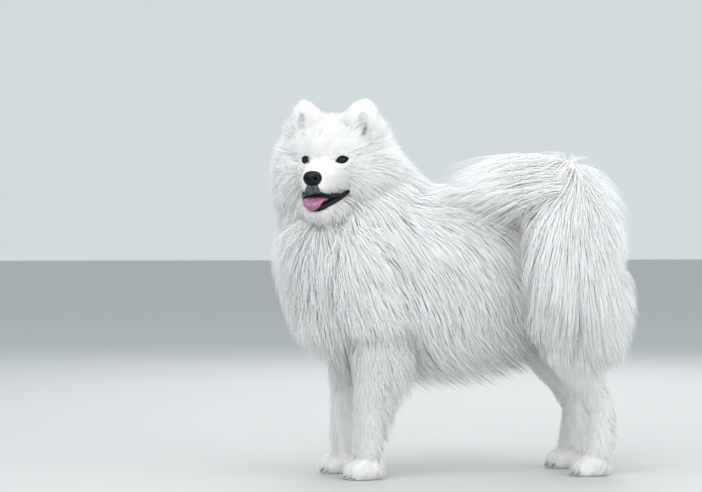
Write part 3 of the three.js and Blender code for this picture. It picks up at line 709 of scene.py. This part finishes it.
def mouthCutter():
    back, level = mouth["corner"]
    upperEdge = [(back, 0, level), (26, 0, -72), (78, 0, -67), (120, 0, -63)]
    upper = smoothLine(upperEdge, np.linspace(0, 1, 14))
    lowerEdge = [(120, 0, -98), (70, 0, -92), (26, 0, -81), (back, 0, level - 0.5)]
    lower = smoothLine(lowerEdge, np.linspace(0, 1, 14))
    ring = np.concatenate([upper, lower[:-1]])
    count = len(ring)
    sides = [ring + [0, side * mouth["width"] / 2, 0] for side in (-1, 1)]
    faces = [[k, (k + 1) % count, (k + 1) % count + count, k + count] for k in range(count)]
    faces += [list(range(count))[::-1], list(range(count, 2 * count))]
    return meshOf("mouthCutter", toWorld(fromHead(np.concatenate(sides))), faces)


def cutWith(made, cutter):
    tool = bpy.data.objects.new("cutter", cutter)
    bpy.context.scene.collection.objects.link(tool)
    trimmed = bmesh.new()
    trimmed.from_mesh(cutter)
    bmesh.ops.recalc_face_normals(trimmed, faces=trimmed.faces)
    trimmed.to_mesh(cutter)
    trimmed.free()
    cut = made.modifiers.new("cut", "BOOLEAN")
    cut.operation = "DIFFERENCE"
    cut.object = tool
    cut.solver = "EXACT"
    applied(made)
    bpy.data.objects.remove(tool)


def bodyMesh(name, body, **shape):
    points, faces = body.tube(**shape)
    return meshOf(name, toWorld(points), faces)


skinParts = []
for name, body in bodies.items():
    fine = name in ("crown", "muzzle", "jaw") or name.startswith(("cheek", "brow", "ear"))
    if fine:
        skinParts.append(body.tube(sides=40, rings=44))
    else:
        skinParts.append(body.tube(sides=32, rings=36, share=skinShare))
points, faces = joined(skinParts)
skin = applied(remeshed("skin", meshOf("skin", toWorld(points), faces)))
cutWith(skin, mouthCutter())
for side in (1, -1):
    cutWith(skin, bodyMesh("cup", earCup(side), sides=24, rings=20))


def eyeTurn(side):
    # From the eye's own axes to the head's: outward, across and up.
    tilt, swing = side * 0.16, side * 0.36
    cos, sin = math.cos(tilt), math.sin(tilt)
    tilted = np.array([[1, 0, 0], [0, cos, -sin], [0, sin, cos]])
    return sideTurn(swing) @ tilted


def eyePlace(side):
    return np.array([head["eyeDepth"], side * head["eyeSpacing"] / 2, 0])


def inEye(points, side):
    return (intoHead(points) - eyePlace(side)) @ eyeTurn(side)


# The opening of an eye: half width and height, how much it narrows to its corners, how the lids follow the
# ball, their thickness, and how far round the opening they fold, as a share of it.
almond = dict(wide=12.4, high=6.5, narrowing=0.35, bulge=0.66, lid=1.5, fold=1.7)


def almondShare(across, high):
    # 1 on the edge of the opening, less inside it.
    corner = np.clip(np.abs(across) / almond["wide"], 0, 1) ** 2
    return np.hypot(across / almond["wide"], high / (almond["high"] * (1 - almond["narrowing"] * corner)))


def skinPoints(mesh):
    flat = np.empty(len(mesh.vertices) * 3)
    mesh.vertices.foreach_get("co", flat)
    return flat.reshape(-1, 3) * 1000 - placing


def refineRoundEyes():
    # Finer faces where the lids fold round the eyeballs.
    work = bmesh.new()
    work.from_mesh(skin.data)
    work.verts.ensure_lookup_table()
    points = skinPoints(skin.data)
    near = np.zeros(len(points), bool)
    for side in (1, -1):
        local = inEye(points, side)
        near |= (np.abs(local[:, 1]) < 24) & (np.abs(local[:, 2]) < 18) & (local[:, 0] > -6)
    edges = [edge for edge in work.edges if near[edge.verts[0].index] and near[edge.verts[1].index]]
    bmesh.ops.subdivide_edges(work, edges=edges, cuts=2, use_grid_fill=True)
    bmesh.ops.triangulate(work, faces=[face for face in work.faces if len(face.verts) > 4])
    work.to_mesh(skin.data)
    work.free()


def foldLids():
    points = skinPoints(skin.data)
    for side in (1, -1):
        local = inEye(points, side)
        share = almondShare(local[:, 1], local[:, 2])
        front = (local[:, 0] > -4) & (share < 1 + almond["fold"])
        edge = local[:, 1:] / np.maximum(share, 1)[:, None]
        ball = np.sqrt(np.maximum(4, head["eyeRadius"] ** 2 - almond["bulge"] * (edge**2).sum(1)))
        rise = np.clip((share - 1) / almond["fold"], 0, 1)
        rise = rise**2 * (3 - 2 * rise)
        thick = almond["lid"]
        lid = ball + thick + (local[:, 0] - ball - thick) * rise
        # Inside the opening, the skin sinks behind the ball's front.
        lid = np.where(share < 1, ball - 4 * np.clip(1 - share, 0, 0.5) - thick, lid)
        local[:, 0] = np.where(front, lid, local[:, 0])
        moved = fromHead(local @ eyeTurn(side).T + eyePlace(side))
        points = np.where(front[:, None], moved, points)
    points[:, 2] = np.maximum(points[:, 2], 0.4)
    skin.data.vertices.foreach_set("co", toWorld(points).ravel())
    skin.data.update()


refineRoundEyes()
foldLids()
skin.data.materials.clear()
skin.data.materials.append(skinMaterial)
skin.data.polygons.foreach_set("use_smooth", np.full(len(skin.data.polygons), True))
fleshNodes = ["head", "jaw", "ear_left", "ear_right", "neck", "chest", "hindquarters"]
fleshNodes += ["tail_base", "tail_plume"]
for part in ("foreleg", "forepaw", "thigh", "hock", "hindpaw"):
    fleshNodes += [part + "_left", part + "_right"]
print("skin has", len(skin.data.polygons), "faces")


# Eyes, lids, nose, lips, tongue and mouth.


def ballMesh(centre, half, sides=40, rings=24):
    polar = np.linspace(0, np.pi, rings)[1:-1]
    around = np.arange(sides) * 2 * np.pi / sides
    p, q = np.repeat(polar, sides), np.tile(around, rings - 2)
    body = np.stack([np.cos(p), np.sin(p) * np.cos(q), np.sin(p) * np.sin(q)], 1)
    points = np.concatenate([body, [[1, 0, 0], [-1, 0, 0]]]) * np.array(half) + np.array(centre)
    # The rings run the other way round than a body's, so its faces are turned over.
    return points, [face[:1] + face[:0:-1] for face in ringFaces(rings - 2, sides)]


def headPiece(name, shape, material, slot, *nodes):
    # Of points in the head's own axes, and faces.
    points, faces = shape
    addPiece(name, meshOf(name, toWorld(fromHead(points)), faces), material, slot, *nodes)


def fromBody(body, name, material, slot, *nodes, **shape):
    addPiece(name, bodyMesh(name, body, **shape), material, slot, *nodes)


gaze = dict(pupil=3.2, pupilLift=0.15, outward=0.20)  # mm, mm and radians
lidRim = dict(thick=1.9, rise=0.6)


def capOnEye(side, radius, lift):
    # A round patch of the eye, on the eyeball's front.
    around = np.arange(36) * 2 * np.pi / 36
    rings = np.linspace(0.0, 1.0, 8)[1:]
    ball = head["eyeRadius"] + lift
    points = [[ball, 0, 0]]
    for ring in rings:
        reach = radius * ring
        for angle in around:
            out = math.sqrt(ball**2 - reach**2)
            points.append([out, reach * math.cos(angle), reach * math.sin(angle)])
    points = np.array(points)
    under = points.copy()
    under[:, 0] -= lift + 0.4
    count = len(around)
    faces = [[0, 1 + k, 1 + (k + 1) % count] for k in range(count)]
    for ring in range(len(rings) - 1):
        for k in range(count):
            a, b = 1 + ring * count + k, 1 + ring * count + (k + 1) % count
            faces.append([a, a + count, b + count, b])
    total = len(points)
    faces += [[i + total for i in face][::-1] for face in faces]
    rim = 1 + (len(rings) - 1) * count
    for k in range(count):
        after = rim + (k + 1) % count
        faces.append([rim + k, rim + k + total, after + total, after])
    turned = sideTurn(side * gaze["outward"])
    return np.concatenate([points, under]) @ turned.T + eyePlace(side), faces


def lidRing(side):
    # The black rim of the lids round the almond opening.
    count, around = 48, 12
    radius = head["eyeRadius"]
    turnAngle = np.arange(count) * 2 * np.pi / count
    level = almond["wide"] * np.cos(turnAngle)
    lift = almond["high"] * np.sin(turnAngle) * (1 - almond["narrowing"] * np.cos(turnAngle) ** 2)
    depth = np.sqrt(np.maximum(4.0, radius**2 - almond["bulge"] * (level**2 + lift**2)))
    middle = np.stack([depth + lidRim["rise"], level, lift], 1)
    centre = middle.mean(0)
    points = []
    for k in range(count):
        before, after = middle[k - 1], middle[(k + 1) % count]
        along = unit(after - before)
        outward = unit(middle[k] - centre - along * ((middle[k] - centre) @ along))
        other = np.cross(along, outward)
        for j in range(around):
            angle = 2 * np.pi * j / around
            offset = 1.15 * math.cos(angle) * outward + 0.9 * math.sin(angle) * other
            points.append(middle[k] + lidRim["thick"] * offset)
    points = np.array(points)
    faces = []
    for k in range(count):
        for j in range(around):
            a, b = k * around + j, k * around + (j + 1) % around
            c, d = ((k + 1) % count) * around + j, ((k + 1) % count) * around + (j + 1) % around
            faces.append([a, b, d, c])
    return points @ eyeTurn(side).T + eyePlace(side), faces


for side, name in ((1, "left"), (-1, "right")):
    ball = ballMesh(eyePlace(side), [head["eyeRadius"]] * 3)
    pupil = capOnEye(side, gaze["pupil"], gaze["pupilLift"])
    headPiece("eyeball_" + name, ball, eyeMaterial, "eye", "eye_" + name)
    headPiece("pupil_" + name, pupil, pupilMaterial, "eye")
    headPiece("lids_" + name, lidRing(side), lipMaterial, "lips", "eyelid_" + name)

noseSize = dict(centre=(84, 0, -39.5), half=(15.5, 18.8, 15.5), nostril=6.5)
noseSize["hole"] = (8.0, -1.0, 3.5, 3.2)  # mm aside and up from the middle, half width and half height
noseSize["slit"] = (13.5, -4.6, 4.5, 1.4)


def pit(y, z, side, shape):
    aside, up, wide, tall = shape
    return np.exp(-(((y - side * aside) / wide) ** 2 + ((z - up) / tall) ** 2))


def groove(across, depth, width):
    return depth * np.exp(-((across / width) ** 2))


def noseShape():
    points, faces = ballMesh((0, 0, 0), (1, 1, 1), 72, 48)
    a, _, c = points.T
    # A broad flat front, narrower below.
    half = np.array(noseSize["half"])
    squared = np.sign(points) * np.abs(points) ** 0.86
    shaped = squared * half
    shaped[:, 1] *= 1 - 0.16 * np.clip(-c, 0, 1)
    y, z = shaped[:, 1], shaped[:, 2]
    front = np.clip(a, 0, 1)
    for side in (1, -1):
        # Round openings that run out sideways as slits.
        hole, slit = (pit(y, z, side, noseSize[kind]) for kind in ("hole", "slit"))
        shaped[:, 0] -= noseSize["nostril"] * np.maximum(hole, 0.6 * slit) * front
    shaped[:, 0] -= groove(y, 1.6, 0.9) * front * np.clip(0.3 - c, 0, 1)
    return shaped + np.array(noseSize["centre"]), faces


headPiece("noseLeather", noseShape(), noseMaterial, "nose", "nose")

upperLip = [(-16, 49, -52), (10, 43, -66), (40, 31, -73.5), (64, 22, -71), (80, 11, -67.5), (85.5, 0, -66)]
lowerLip = [(-16, 50, -54), (6, 43, -68), (28, 34, -79), (50, 23, -88), (67, 11, -96), (72, 0, -97)]


def lipCord(points, thick):
    both = points + [(a, -b, c) for a, b, c in points[-2::-1]]
    count = len(both)
    stations = []
    for k, (a, b, c) in enumerate(both):
        middle = 1 - abs(k - (count - 1) / 2) / ((count - 1) / 2)
        size = thick * (0.75 + 0.35 * middle)
        stations.append((a, b, c, size * 0.9, size * 1.15))
    return Body(stations, caps=(0.04, 0.04), inHead=True)


fromBody(lipCord(upperLip, 2.3), "upperLip", lipMaterial, "lips", "lip_upper", sides=18, rings=110)
fromBody(lipCord(lowerLip, 5.2), "lowerLip", lipMaterial, "lips", "lip_lower", sides=18, rings=110)

tongueBody = Body(
    [
        (-8, 0, -66, 17, 5),
        (30, 0, -74, 20, 5.5),
        (58, 0, -81, 22, 5.5),
        (76, 0, -82, 21.5, 5),
        (87, 0, -90, 18.5, 4.6),
        (90, 0, -102, 12, 3.4),
    ],
    caps=(0.1, 0.16),
    inHead=True,
)


def tongueShape():
    # The groove runs down the middle of the upper side.
    points, faces = tongueBody.tube(sides=48, rings=60)
    local = intoHead(points)
    top = np.clip((local[:, 2] + 66) / 60 + 1, 0, 1)
    local[:, 2] -= groove(local[:, 1], 1.8, 2.2) * top
    local[:, 2] += 1.2 * (np.abs(local[:, 1]) / 20) ** 2
    return local, faces


headPiece("tongueMuscle", tongueShape(), tongueMaterial, "tongue", "tongue")

# The dark bare front of the upper lip, with the groove that runs down from the nose.
lipFront = Body(
    [(88, 0, -50, 9, 6), (87, 0, -57, 13, 6.5), (84, 0, -64, 16, 6), (81, 0, -68, 14, 5)],
    up=tuple(ahead),
    caps=(0.2, 0.25),
    inHead=True,
)


def lipFrontShape():
    points, faces = lipFront.tube(sides=48, rings=24)
    local = intoHead(points)
    local[:, 0] -= groove(local[:, 1], 1.6, 1.1)
    return local, faces


headPiece("lipFront", lipFrontShape(), lipFrontMaterial, "lips")

# The inside of the mouth: dark lining whose colour is made near black with painted shade of the mouth's
# depth.
lining = Body(
    [
        (-30, 0, -59, 40, 10),
        (0, 0, -66, 39, 10),
        (34, 0, -75, 29, 11),
        (58, 0, -77, 20, 12),
        (70, 0, -77, 15, 12),
    ],
    caps=(0.2, 0.15),
    inHead=True,
)
fromBody(lining, "mouthInside", mouthShadedLiningMaterial, "lips", sides=32, rings=30)

# The ear openings: their skin is coloured darker with painted shade of the hollow.
for side, name in ((1, "left"), (-1, "right")):
    deeper = 0 if side > 0 else 12  # the right ear's opening is hidden by its hair
    fromBody(
        Body(
            [
                (-28 - deeper, side * 66 + ears["shift"], 46, 5, 8),
                (-31 - deeper, side * 68 + ears["shift"], 46 + ears["height"] * 0.22, 4, 7),
                (-35 - deeper, side * 69 + ears["shift"], 46 + ears["height"] * 0.4, 2.2, 4),
            ],
            up=earFacing(side),
            caps=(0.3, 0.4),
            inHead=True,
        ),
        "earInside_" + name,
        earShadedSkinMaterial,
        "coat",
        sides=32,
        rings=30,
    )

clawParts = []
for (x, y, z), half in toes:
    stations = []
    for reach, level, wide, tall in ((0.55, 0.62, 2.4, 3.2), (0.95, 0.5, 2.0, 2.6), (1.28, 0.2, 0.9, 1.0)):
        stations.append((x - half[0] * reach, y, z * level, wide, tall))
    clawParts.append(Body(stations, caps=(0.2, 0.5)).tube(sides=12, rings=10))
points, faces = joined(clawParts)
addPiece("claws", meshOf("claws", toWorld(points), faces), clawMaterial, "nose")
print("face and claws made")


# The coat: thin tapered tufts rooted on the skin, each following the lie of the hair.

coat = dict(
    longTufts=64000,
    shortTufts=38000,
    longFrom=20,  # mm of depth where the coat counts as long
    lengthShare=0.9,  # of the coat's depth in a tuft's length, besides each body's extra
    lengths=(0.75, 0.45),  # a factor of at least this, and what chance adds to it
    lifts=(0.7, 0.3),  # in the same way, how far the tips stand out
    ruffles=(0.7, 1.1),  # a second factor of that for short hair
    clump=6,  # tufts that draw together at their tips
    gather=0.13,
    stray=0.09,
    flatness=0.26,  # a tuft's thickness to its width
    softness=0.86,  # how much a tuft is shaded as part of the whole coat
    pieceLimit=190000,  # triangles
    follow=0.85,  # how closely a tuft follows the curve of the body under it
    bendAt=0.30,  # where it bends, as a share of its length
    bendUp=0.92,  # how high it stands there, as a share of its rise
    past=(9, 9, 3),  # mm that tips may reach past the solids' box
    aboveFloor=1.5,  # mm that they stay above its underside
    mapCells=7,  # a side of the UV map, which has a cell for each body
)
draw = np.random.default_rng(seed)
reachLow = np.array(boundsBefore[0]) * 1000 - placing - [*coat["past"][:2], -coat["aboveFloor"]]
reachHigh = np.array(boundsBefore[1]) * 1000 - placing + coat["past"]


def skinTriangles():
    # The corners of each triangle, the normals there, and its area.
    mesh = skin.data
    mesh.calc_loop_triangles()
    index = np.empty(len(mesh.loop_triangles) * 3, int)
    mesh.loop_triangles.foreach_get("vertices", index)
    index = index.reshape(-1, 3)
    normals = np.empty(len(mesh.vertices) * 3)
    mesh.vertices.foreach_get("normal", normals)
    corners = skinPoints(mesh)[index]
    edges = corners[:, 1] - corners[:, 0], corners[:, 2] - corners[:, 0]
    return corners, normals.reshape(-1, 3)[index], np.linalg.norm(np.cross(*edges), axis=1) / 2


def hairAt(points, normals):
    # Blends what the bodies near each point say about the hair there.
    total = np.zeros(len(points))
    depth = np.zeros(len(points))
    lie = np.zeros((len(points), 3))
    look = {key: np.zeros(len(points)) for key in ("width", "density", "extra")}
    best = np.full(len(points), -1.0)
    unwrap = np.zeros((len(points), 2))
    bend = np.zeros(len(points))
    for number, (name, body) in enumerate(bodies.items()):
        t, angle, outside, deep, along, size = body.near(points)
        weight = np.exp(-((outside / 17) ** 2)) + 1e-7
        if name in ("crown", "ruff"):
            weight *= 0.6  # where they meet other bodies, those count for more
        total += weight
        depth += weight * deep
        wish = body.hair["lie"](points, normals)
        outwards = (wish * normals).sum(1, keepdims=True)
        flat = unit(wish - normals * np.where(outwards < 0, outwards, 0.55 * outwards))
        lie += weight[:, None] * flat
        for key in look:
            value = body.hair[key]
            look[key] += weight * (value(t) if callable(value) else value)
        crosswise = 1 - (flat * along).sum(1) ** 2
        bend += weight * crosswise / np.maximum(size, 15)
        nearer = weight > best
        best = np.maximum(best, weight)
        cell = np.array([number % coat["mapCells"], number // coat["mapCells"]]) / coat["mapCells"]
        place = np.stack([(angle / (2 * np.pi) + 0.5) * 0.13, t * 0.13], 1) + cell + 0.005
        unwrap[nearer] = place[nearer]
    for key in look:
        look[key] /= total
    return depth / total, unit(lie), look, bend / total, unwrap


def bareSkin(points):
    # No hair grows on eyes, nose and lips, in the mouth or in the opening of the ear.
    a, b, c = intoHead(points).T
    bare = np.zeros(len(points), bool)
    for side in (1, -1):
        local = inEye(points, side)
        bare |= (almondShare(local[:, 1], local[:, 2]) < 1.55) & (local[:, 0] > -6)
    # Only the left ear shows its opening.
    outside = earCup(1).near(points)[2]
    bare |= (np.abs(b - 67 - ears["shift"]) < 5.5) & (outside < 3) & (c < 80)
    # The nose, then between the lips, then the bare front of the upper lip.
    bare |= ((a - 84) / 16.5) ** 2 + (b / 19.8) ** 2 + ((c + 39.5) / 16.5) ** 2 < 1
    upper = np.interp(a, [-19, 26, 78, 120], [-48, -72, -66, -62])
    lower = np.interp(a, [-19, 26, 70, 120], [-57, -88, -99, -101])
    bare |= (a > -20) & (a < 100) & (np.abs(b) < 62) & (c < upper) & (c > lower)
    bare |= (a > 78) & (np.abs(b) < 15) & (c < -48) & (c > -70)
    return bare


def growTufts():
    corners, normals, area = skinTriangles()
    centres = corners.mean(1)
    depth, _, look, _, _ = hairAt(centres, unit(normals.mean(1)))
    bare = bareSkin(centres) | (centres[:, 2] < 2.5)
    isLong = depth > coat["longFrom"]
    chosen = {}
    for kind, wanted, mask in (("long", coat["longTufts"], isLong), ("short", coat["shortTufts"], ~isLong)):
        weight = area * look["density"] * mask * ~bare
        pick = draw.choice(len(corners), wanted, p=weight / weight.sum())
        mix = draw.random((wanted, 2))
        flip = mix.sum(1) > 1
        mix[flip] = 1 - mix[flip]
        shares = np.stack([1 - mix.sum(1), mix[:, 0], mix[:, 1]], 1)
        roots = (corners[pick] * shares[:, :, None]).sum(1)
        out = unit((normals[pick] * shares[:, :, None]).sum(1))
        chosen[kind] = (roots, out)
    return chosen


def crossesEye(start, middle, tip):
    crossing = np.zeros(len(start), bool)
    for share in (0.3, 0.5, 0.7, 0.85, 1.0):
        points = (1 - share) ** 2 * start + 2 * share * (1 - share) * middle + share**2 * tip
        for side in (1, -1):
            local = inEye(points, side)
            crossing |= (almondShare(local[:, 1], local[:, 2]) < 1.12) & (local[:, 0] > 0)
    return crossing


def chance(limits, count):
    least, more = limits
    return least + more * draw.random(count)


def tuftCurves(roots, out, isLong):
    # Root, bend and tip of each tuft, with what its mesh needs.
    count = len(roots)
    depth, lie, look, bend, unwrap = hairAt(roots, out)
    side = np.cross(out, lie)
    stray = coat["stray"] * (1.0 if isLong else 2.0)
    lie = unit(lie + stray * np.clip(draw.normal(size=(count, 1)), -2, 2) * side)
    rise = depth * (1 - skinShare) * chance(coat["lifts"], count)
    if not isLong:
        rise *= chance(coat["ruffles"], count)
    length = (look["extra"] + coat["lengthShare"] * depth) * chance(coat["lengths"], count)
    drop = bend * length**2 / 2 * coat["follow"]
    tip = roots + lie * length[:, None] + out * (rise - drop)[:, None]
    # Long hair that has nothing under it hangs.
    hang = np.clip(-out[:, 2], 0, 1) * np.clip((depth - coat["longFrom"]) / 60, 0, 1)
    tip[:, 2] -= 0.03 * hang * length
    tree = kdtree.KDTree(count // coat["clump"])
    for k in range(count // coat["clump"]):
        tree.insert(roots[k], k)
    tree.balance()
    leader = np.array([tree.find(root)[1] for root in roots])
    gather = coat["gather"] * chance((0.5, 0.7), count)
    gather *= (np.linalg.norm(roots[leader] - roots, axis=1) < 30) * ((lie[leader] * lie).sum(1) > 0.6)
    tip += (tip[leader] - tip) * gather[:, None]
    tip = np.clip(tip, reachLow, reachHigh)
    up = np.maximum(rise, 0.5)[:, None] * coat["bendUp"] - (drop * 0.08)[:, None]
    middle = roots + lie * (length * coat["bendAt"])[:, None] + out * up
    middle += (tip - roots - lie * length[:, None]) * 0.12
    clear = ~crossesEye(roots, middle, tip)
    return [values[clear] for values in (roots - out * 1.2, middle, tip, out, look["width"], unwrap)]


def shadeNormals(start, out):
    # Hair that hangs from an underside is lit from the side, as its outer face is.
    under = np.clip(-out[:, 2] - 0.1, 0, 1) * np.clip((start[:, 2] - 180) / 120, 0, 1)
    sideways = np.clip(start[:, 1] / 40, -1, 1)
    lit = out + under[:, None] * np.stack([0 * under, 1.2 * sideways, 0.75 + 0 * under], 1)
    return unit(lit)


def tuftMesh(name, start, middle, tip, out, width, unwrap, rings):
    # Each tuft is a closed three-sided blade: rings of three points and a tip.
    count = len(start)
    shares = np.linspace(0, 1, rings + 1)[:-1]
    profile = np.interp(shares, [0, 0.35, 0.75, 1], [0.75, 1.0, 0.55, 0.05])
    along = unit(tip - start)
    lit = shadeNormals(start, out)
    lit = unit(lit - 0.6 * (lit * along).sum(1, keepdims=True) * along)
    side = unit(np.cross(out + 0.35 * draw.normal(size=(count, 3)), along))
    other = np.cross(along, side)
    blocks, facing = [], []
    for share, size in zip(shares, profile):
        centre = (1 - share) ** 2 * start + 2 * share * (1 - share) * middle + share**2 * tip
        for k in range(3):
            angle = 2 * np.pi * k / 3 + np.pi / 2
            reach = (width * 0.5 * size)[:, None]
            rib = math.cos(angle) * side + coat["flatness"] * math.sin(angle) * other
            blocks.append(centre + reach * rib)
            facing.append(unit(coat["softness"] * lit + (1 - coat["softness"]) * unit(rib)))
    blocks.append(tip)
    facing.append(unit(lit + 0.2 * along))
    points = np.stack(blocks, 1)
    each = points.shape[1]
    faces = [[2, 1, 0]]
    backFaces = [0]
    for ring in range(rings - 1):
        for k in range(3):
            a, b = 3 * ring + k, 3 * ring + (k + 1) % 3
            if k == 1:
                backFaces += [len(faces), len(faces) + 1]
            faces += [[a, b, b + 3], [a, b + 3, a + 3]]
    last = 3 * (rings - 1)
    backFaces.append(len(faces) + 1)
    faces += [[last + k, last + (k + 1) % 3, each - 1] for k in range(3)]
    faces = np.array(faces)
    patch = np.zeros((each, 2))
    patch[:, 0] = np.append(np.tile([0.0, 0.0015, 0.003], rings), 0.0015)
    patch[:, 1] = np.append(np.repeat(shares, 3), 1.0) * 0.003
    mesh = bpy.data.meshes.new(name)
    mesh.vertices.add(count * each)
    mesh.vertices.foreach_set("co", toWorld(points.reshape(-1, 3)).ravel())
    index = (faces[None] + (np.arange(count) * each)[:, None, None]).reshape(-1, 3)
    mesh.loops.add(index.size)
    mesh.loops.foreach_set("vertex_index", index.ravel())
    mesh.polygons.add(len(index))
    mesh.polygons.foreach_set("loop_start", np.arange(len(index)) * 3)
    mesh.update(calc_edges=True)
    uv = mesh.uv_layers.new(name="OFBake")
    places = (unwrap[:, None] + patch[None]).reshape(-1, 2)[index.ravel()]
    uv.data.foreach_set("uv", places.ravel())
    mesh.validate()
    mesh.polygons.foreach_set("use_smooth", np.full(len(mesh.polygons), True))
    # A blade's back is shaded as the other side of the same soft surface.
    front = np.stack(facing, 1)
    over = other[:, None]
    behind = front - 2 * (front * over).sum(2, keepdims=True) * over
    isBack = np.isin(np.arange(len(faces)), backFaces)
    corners = np.where(isBack[None, :, None, None], behind[:, faces], front[:, faces])
    mesh.normals_split_custom_set(corners.reshape(-1, 3))
    return mesh


def addCoat(kind, curves, rings):
    # In pieces from front to back, each of a size that the export takes.
    start = curves[0]
    triangles = 1 + 6 * (rings - 1) + 3
    pieces = math.ceil(len(start) * triangles / coat["pieceLimit"])
    for number, chunk in enumerate(np.array_split(np.argsort(start[:, 0]), pieces), 1):
        name = f"{kind}Coat{number}"
        mesh = tuftMesh(name, *[values[chunk] for values in curves], rings)
        addPiece(name, mesh, hairMaterial, "coat")
    print(kind, "coat:", len(start), "tufts in", pieces, "pieces")


for kind, (roots, out) in growTufts().items():
    addCoat(kind, tuftCurves(roots, out, kind == "long"), 3 if kind == "long" else 2)

# The long hair of the tail's top, which sprays forward over the back.
spray = dict(count=5200, shortest=70, longest=225, width=1.4)
spray["roots"] = dict(behind=345, rightmost=30, above=565)  # x, y and z where it starts
backArch = dict(level=447, rise=140, wide=152)


def backLevel(y):
    # The top of the coat of the back at a distance to the side.
    return backArch["level"] + backArch["rise"] * np.sqrt(np.clip(1 - (y / backArch["wide"]) ** 2, 0, 1))


def growSpray():
    corners, normals, area = skinTriangles()
    middle = corners.mean(1)
    out = unit(normals.mean(1))
    x, y, z = middle.T
    limits = spray["roots"]
    isTop = (z > limits["above"]) & (x > limits["behind"]) & (y < limits["rightmost"])
    weight = area * (isTop & (out[:, 0] < 0.85) & (out[:, 2] > -0.4))
    count = spray["count"]
    pick = draw.choice(len(corners), count, p=weight / weight.sum())
    roots, out = middle[pick] + 1.5 * draw.normal(size=(count, 3)), out[pick]
    length = spray["shortest"] + (spray["longest"] - spray["shortest"]) * draw.random(count) ** 1.8
    pitch = 0.09 + 0.5 * draw.random(count) ** 1.2
    sideways = 0.12 * np.clip(draw.normal(size=count), -2, 2)
    fall = -np.sin(pitch) * (0.4 + 0.6 * length / spray["longest"])
    tip = roots + length[:, None] * np.stack([-np.cos(pitch), sideways, fall], 1)
    tip[:, 2] = np.maximum(tip[:, 2], backLevel(tip[:, 1]) + 14 * draw.random(count))
    tip = np.clip(tip, reachLow, reachHigh)
    bend = roots + (tip - roots) * 0.4 + out * 8
    bend[:, 2] += length * (0.11 + 0.06 * draw.random(count))
    unwrap = hairAt(roots, out)[4]
    facing = unit(out * [0.4, 1, 1] + [-0.2, -0.5, 1.0])
    return roots, bend, tip, facing, np.full(count, spray["width"]), unwrap


addCoat("spray", growSpray(), 3)

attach(skin, "root")
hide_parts(*fleshNodes)


# Floor, light and camera.

studio = dict(floor="#C4C5C4", wall="#B4BBBE", ambient=1.42, key=82, fill=55, rim=52, top=42)


def lightPanel(name, place, size, power):
    lamp = bpy.data.lights.new(name, "AREA")
    lamp.size = size
    lamp.energy = power
    made = bpy.data.objects.new(name, lamp)
    made.location = place
    aim = Vector((0, 0, 0.35)) - Vector(place)
    made.rotation_euler = aim.to_track_quat("-Z", "Y").to_euler()
    bpy.context.scene.collection.objects.link(made)


floorMaterial, _, floorShader = newMaterial("paleFloor", Roughness=0.9)
floorShader.inputs["Base Color"].default_value = linear(studio["floor"])
floorMesh = meshOf("floor", [(-40, -40, 0), (40, -40, 0), (40, 40, 0), (-40, 40, 0)], [[0, 1, 2, 3]])
floor = newObject("floor", floorMesh, floorMaterial, smooth=False)

world = bpy.data.worlds.new("studio")
bpy.context.scene.world = world
world.use_nodes = True
world.node_tree.nodes["Background"].inputs["Color"].default_value = linear(studio["wall"])
world.node_tree.nodes["Background"].inputs["Strength"].default_value = studio["ambient"]
lightPanel("keyLight", (-2.2, -2.6, 2.8), 3.4, studio["key"])
lightPanel("fillLight", (2.6, -2.8, 1.8), 3.2, studio["fill"])
lightPanel("rimLight", (1.0, 3.0, 2.6), 2.2, studio["rim"])
lightPanel("topLight", (0.1, -0.4, 4.0), 3.0, studio["top"])

view = dict(angle=10, distance=4168, aside=10.7, height=482, pitch=0.223, lens=105.4)
yaw = math.radians(view["angle"])
right = np.array([math.cos(yaw), -math.sin(yaw), 0])
depthWay = np.array([math.sin(yaw), math.cos(yaw), 0])
cameraAt = -view["aside"] * right - view["distance"] * depthWay + [0, 0, view["height"]]
cameraData = bpy.data.cameras.new("camera")
cameraData.lens = view["lens"]
cameraData.sensor_width = 36
cameraData.clip_end = 200
camera = bpy.data.objects.new("camera", cameraData)
camera.location = toWorld(cameraAt)
camera.rotation_euler = (math.radians(90 - view["pitch"]), 0, -yaw)
bpy.context.scene.collection.objects.link(camera)
bpy.context.scene.camera = camera
bpy.context.scene.view_settings.view_transform = "Standard"
print("studio made")
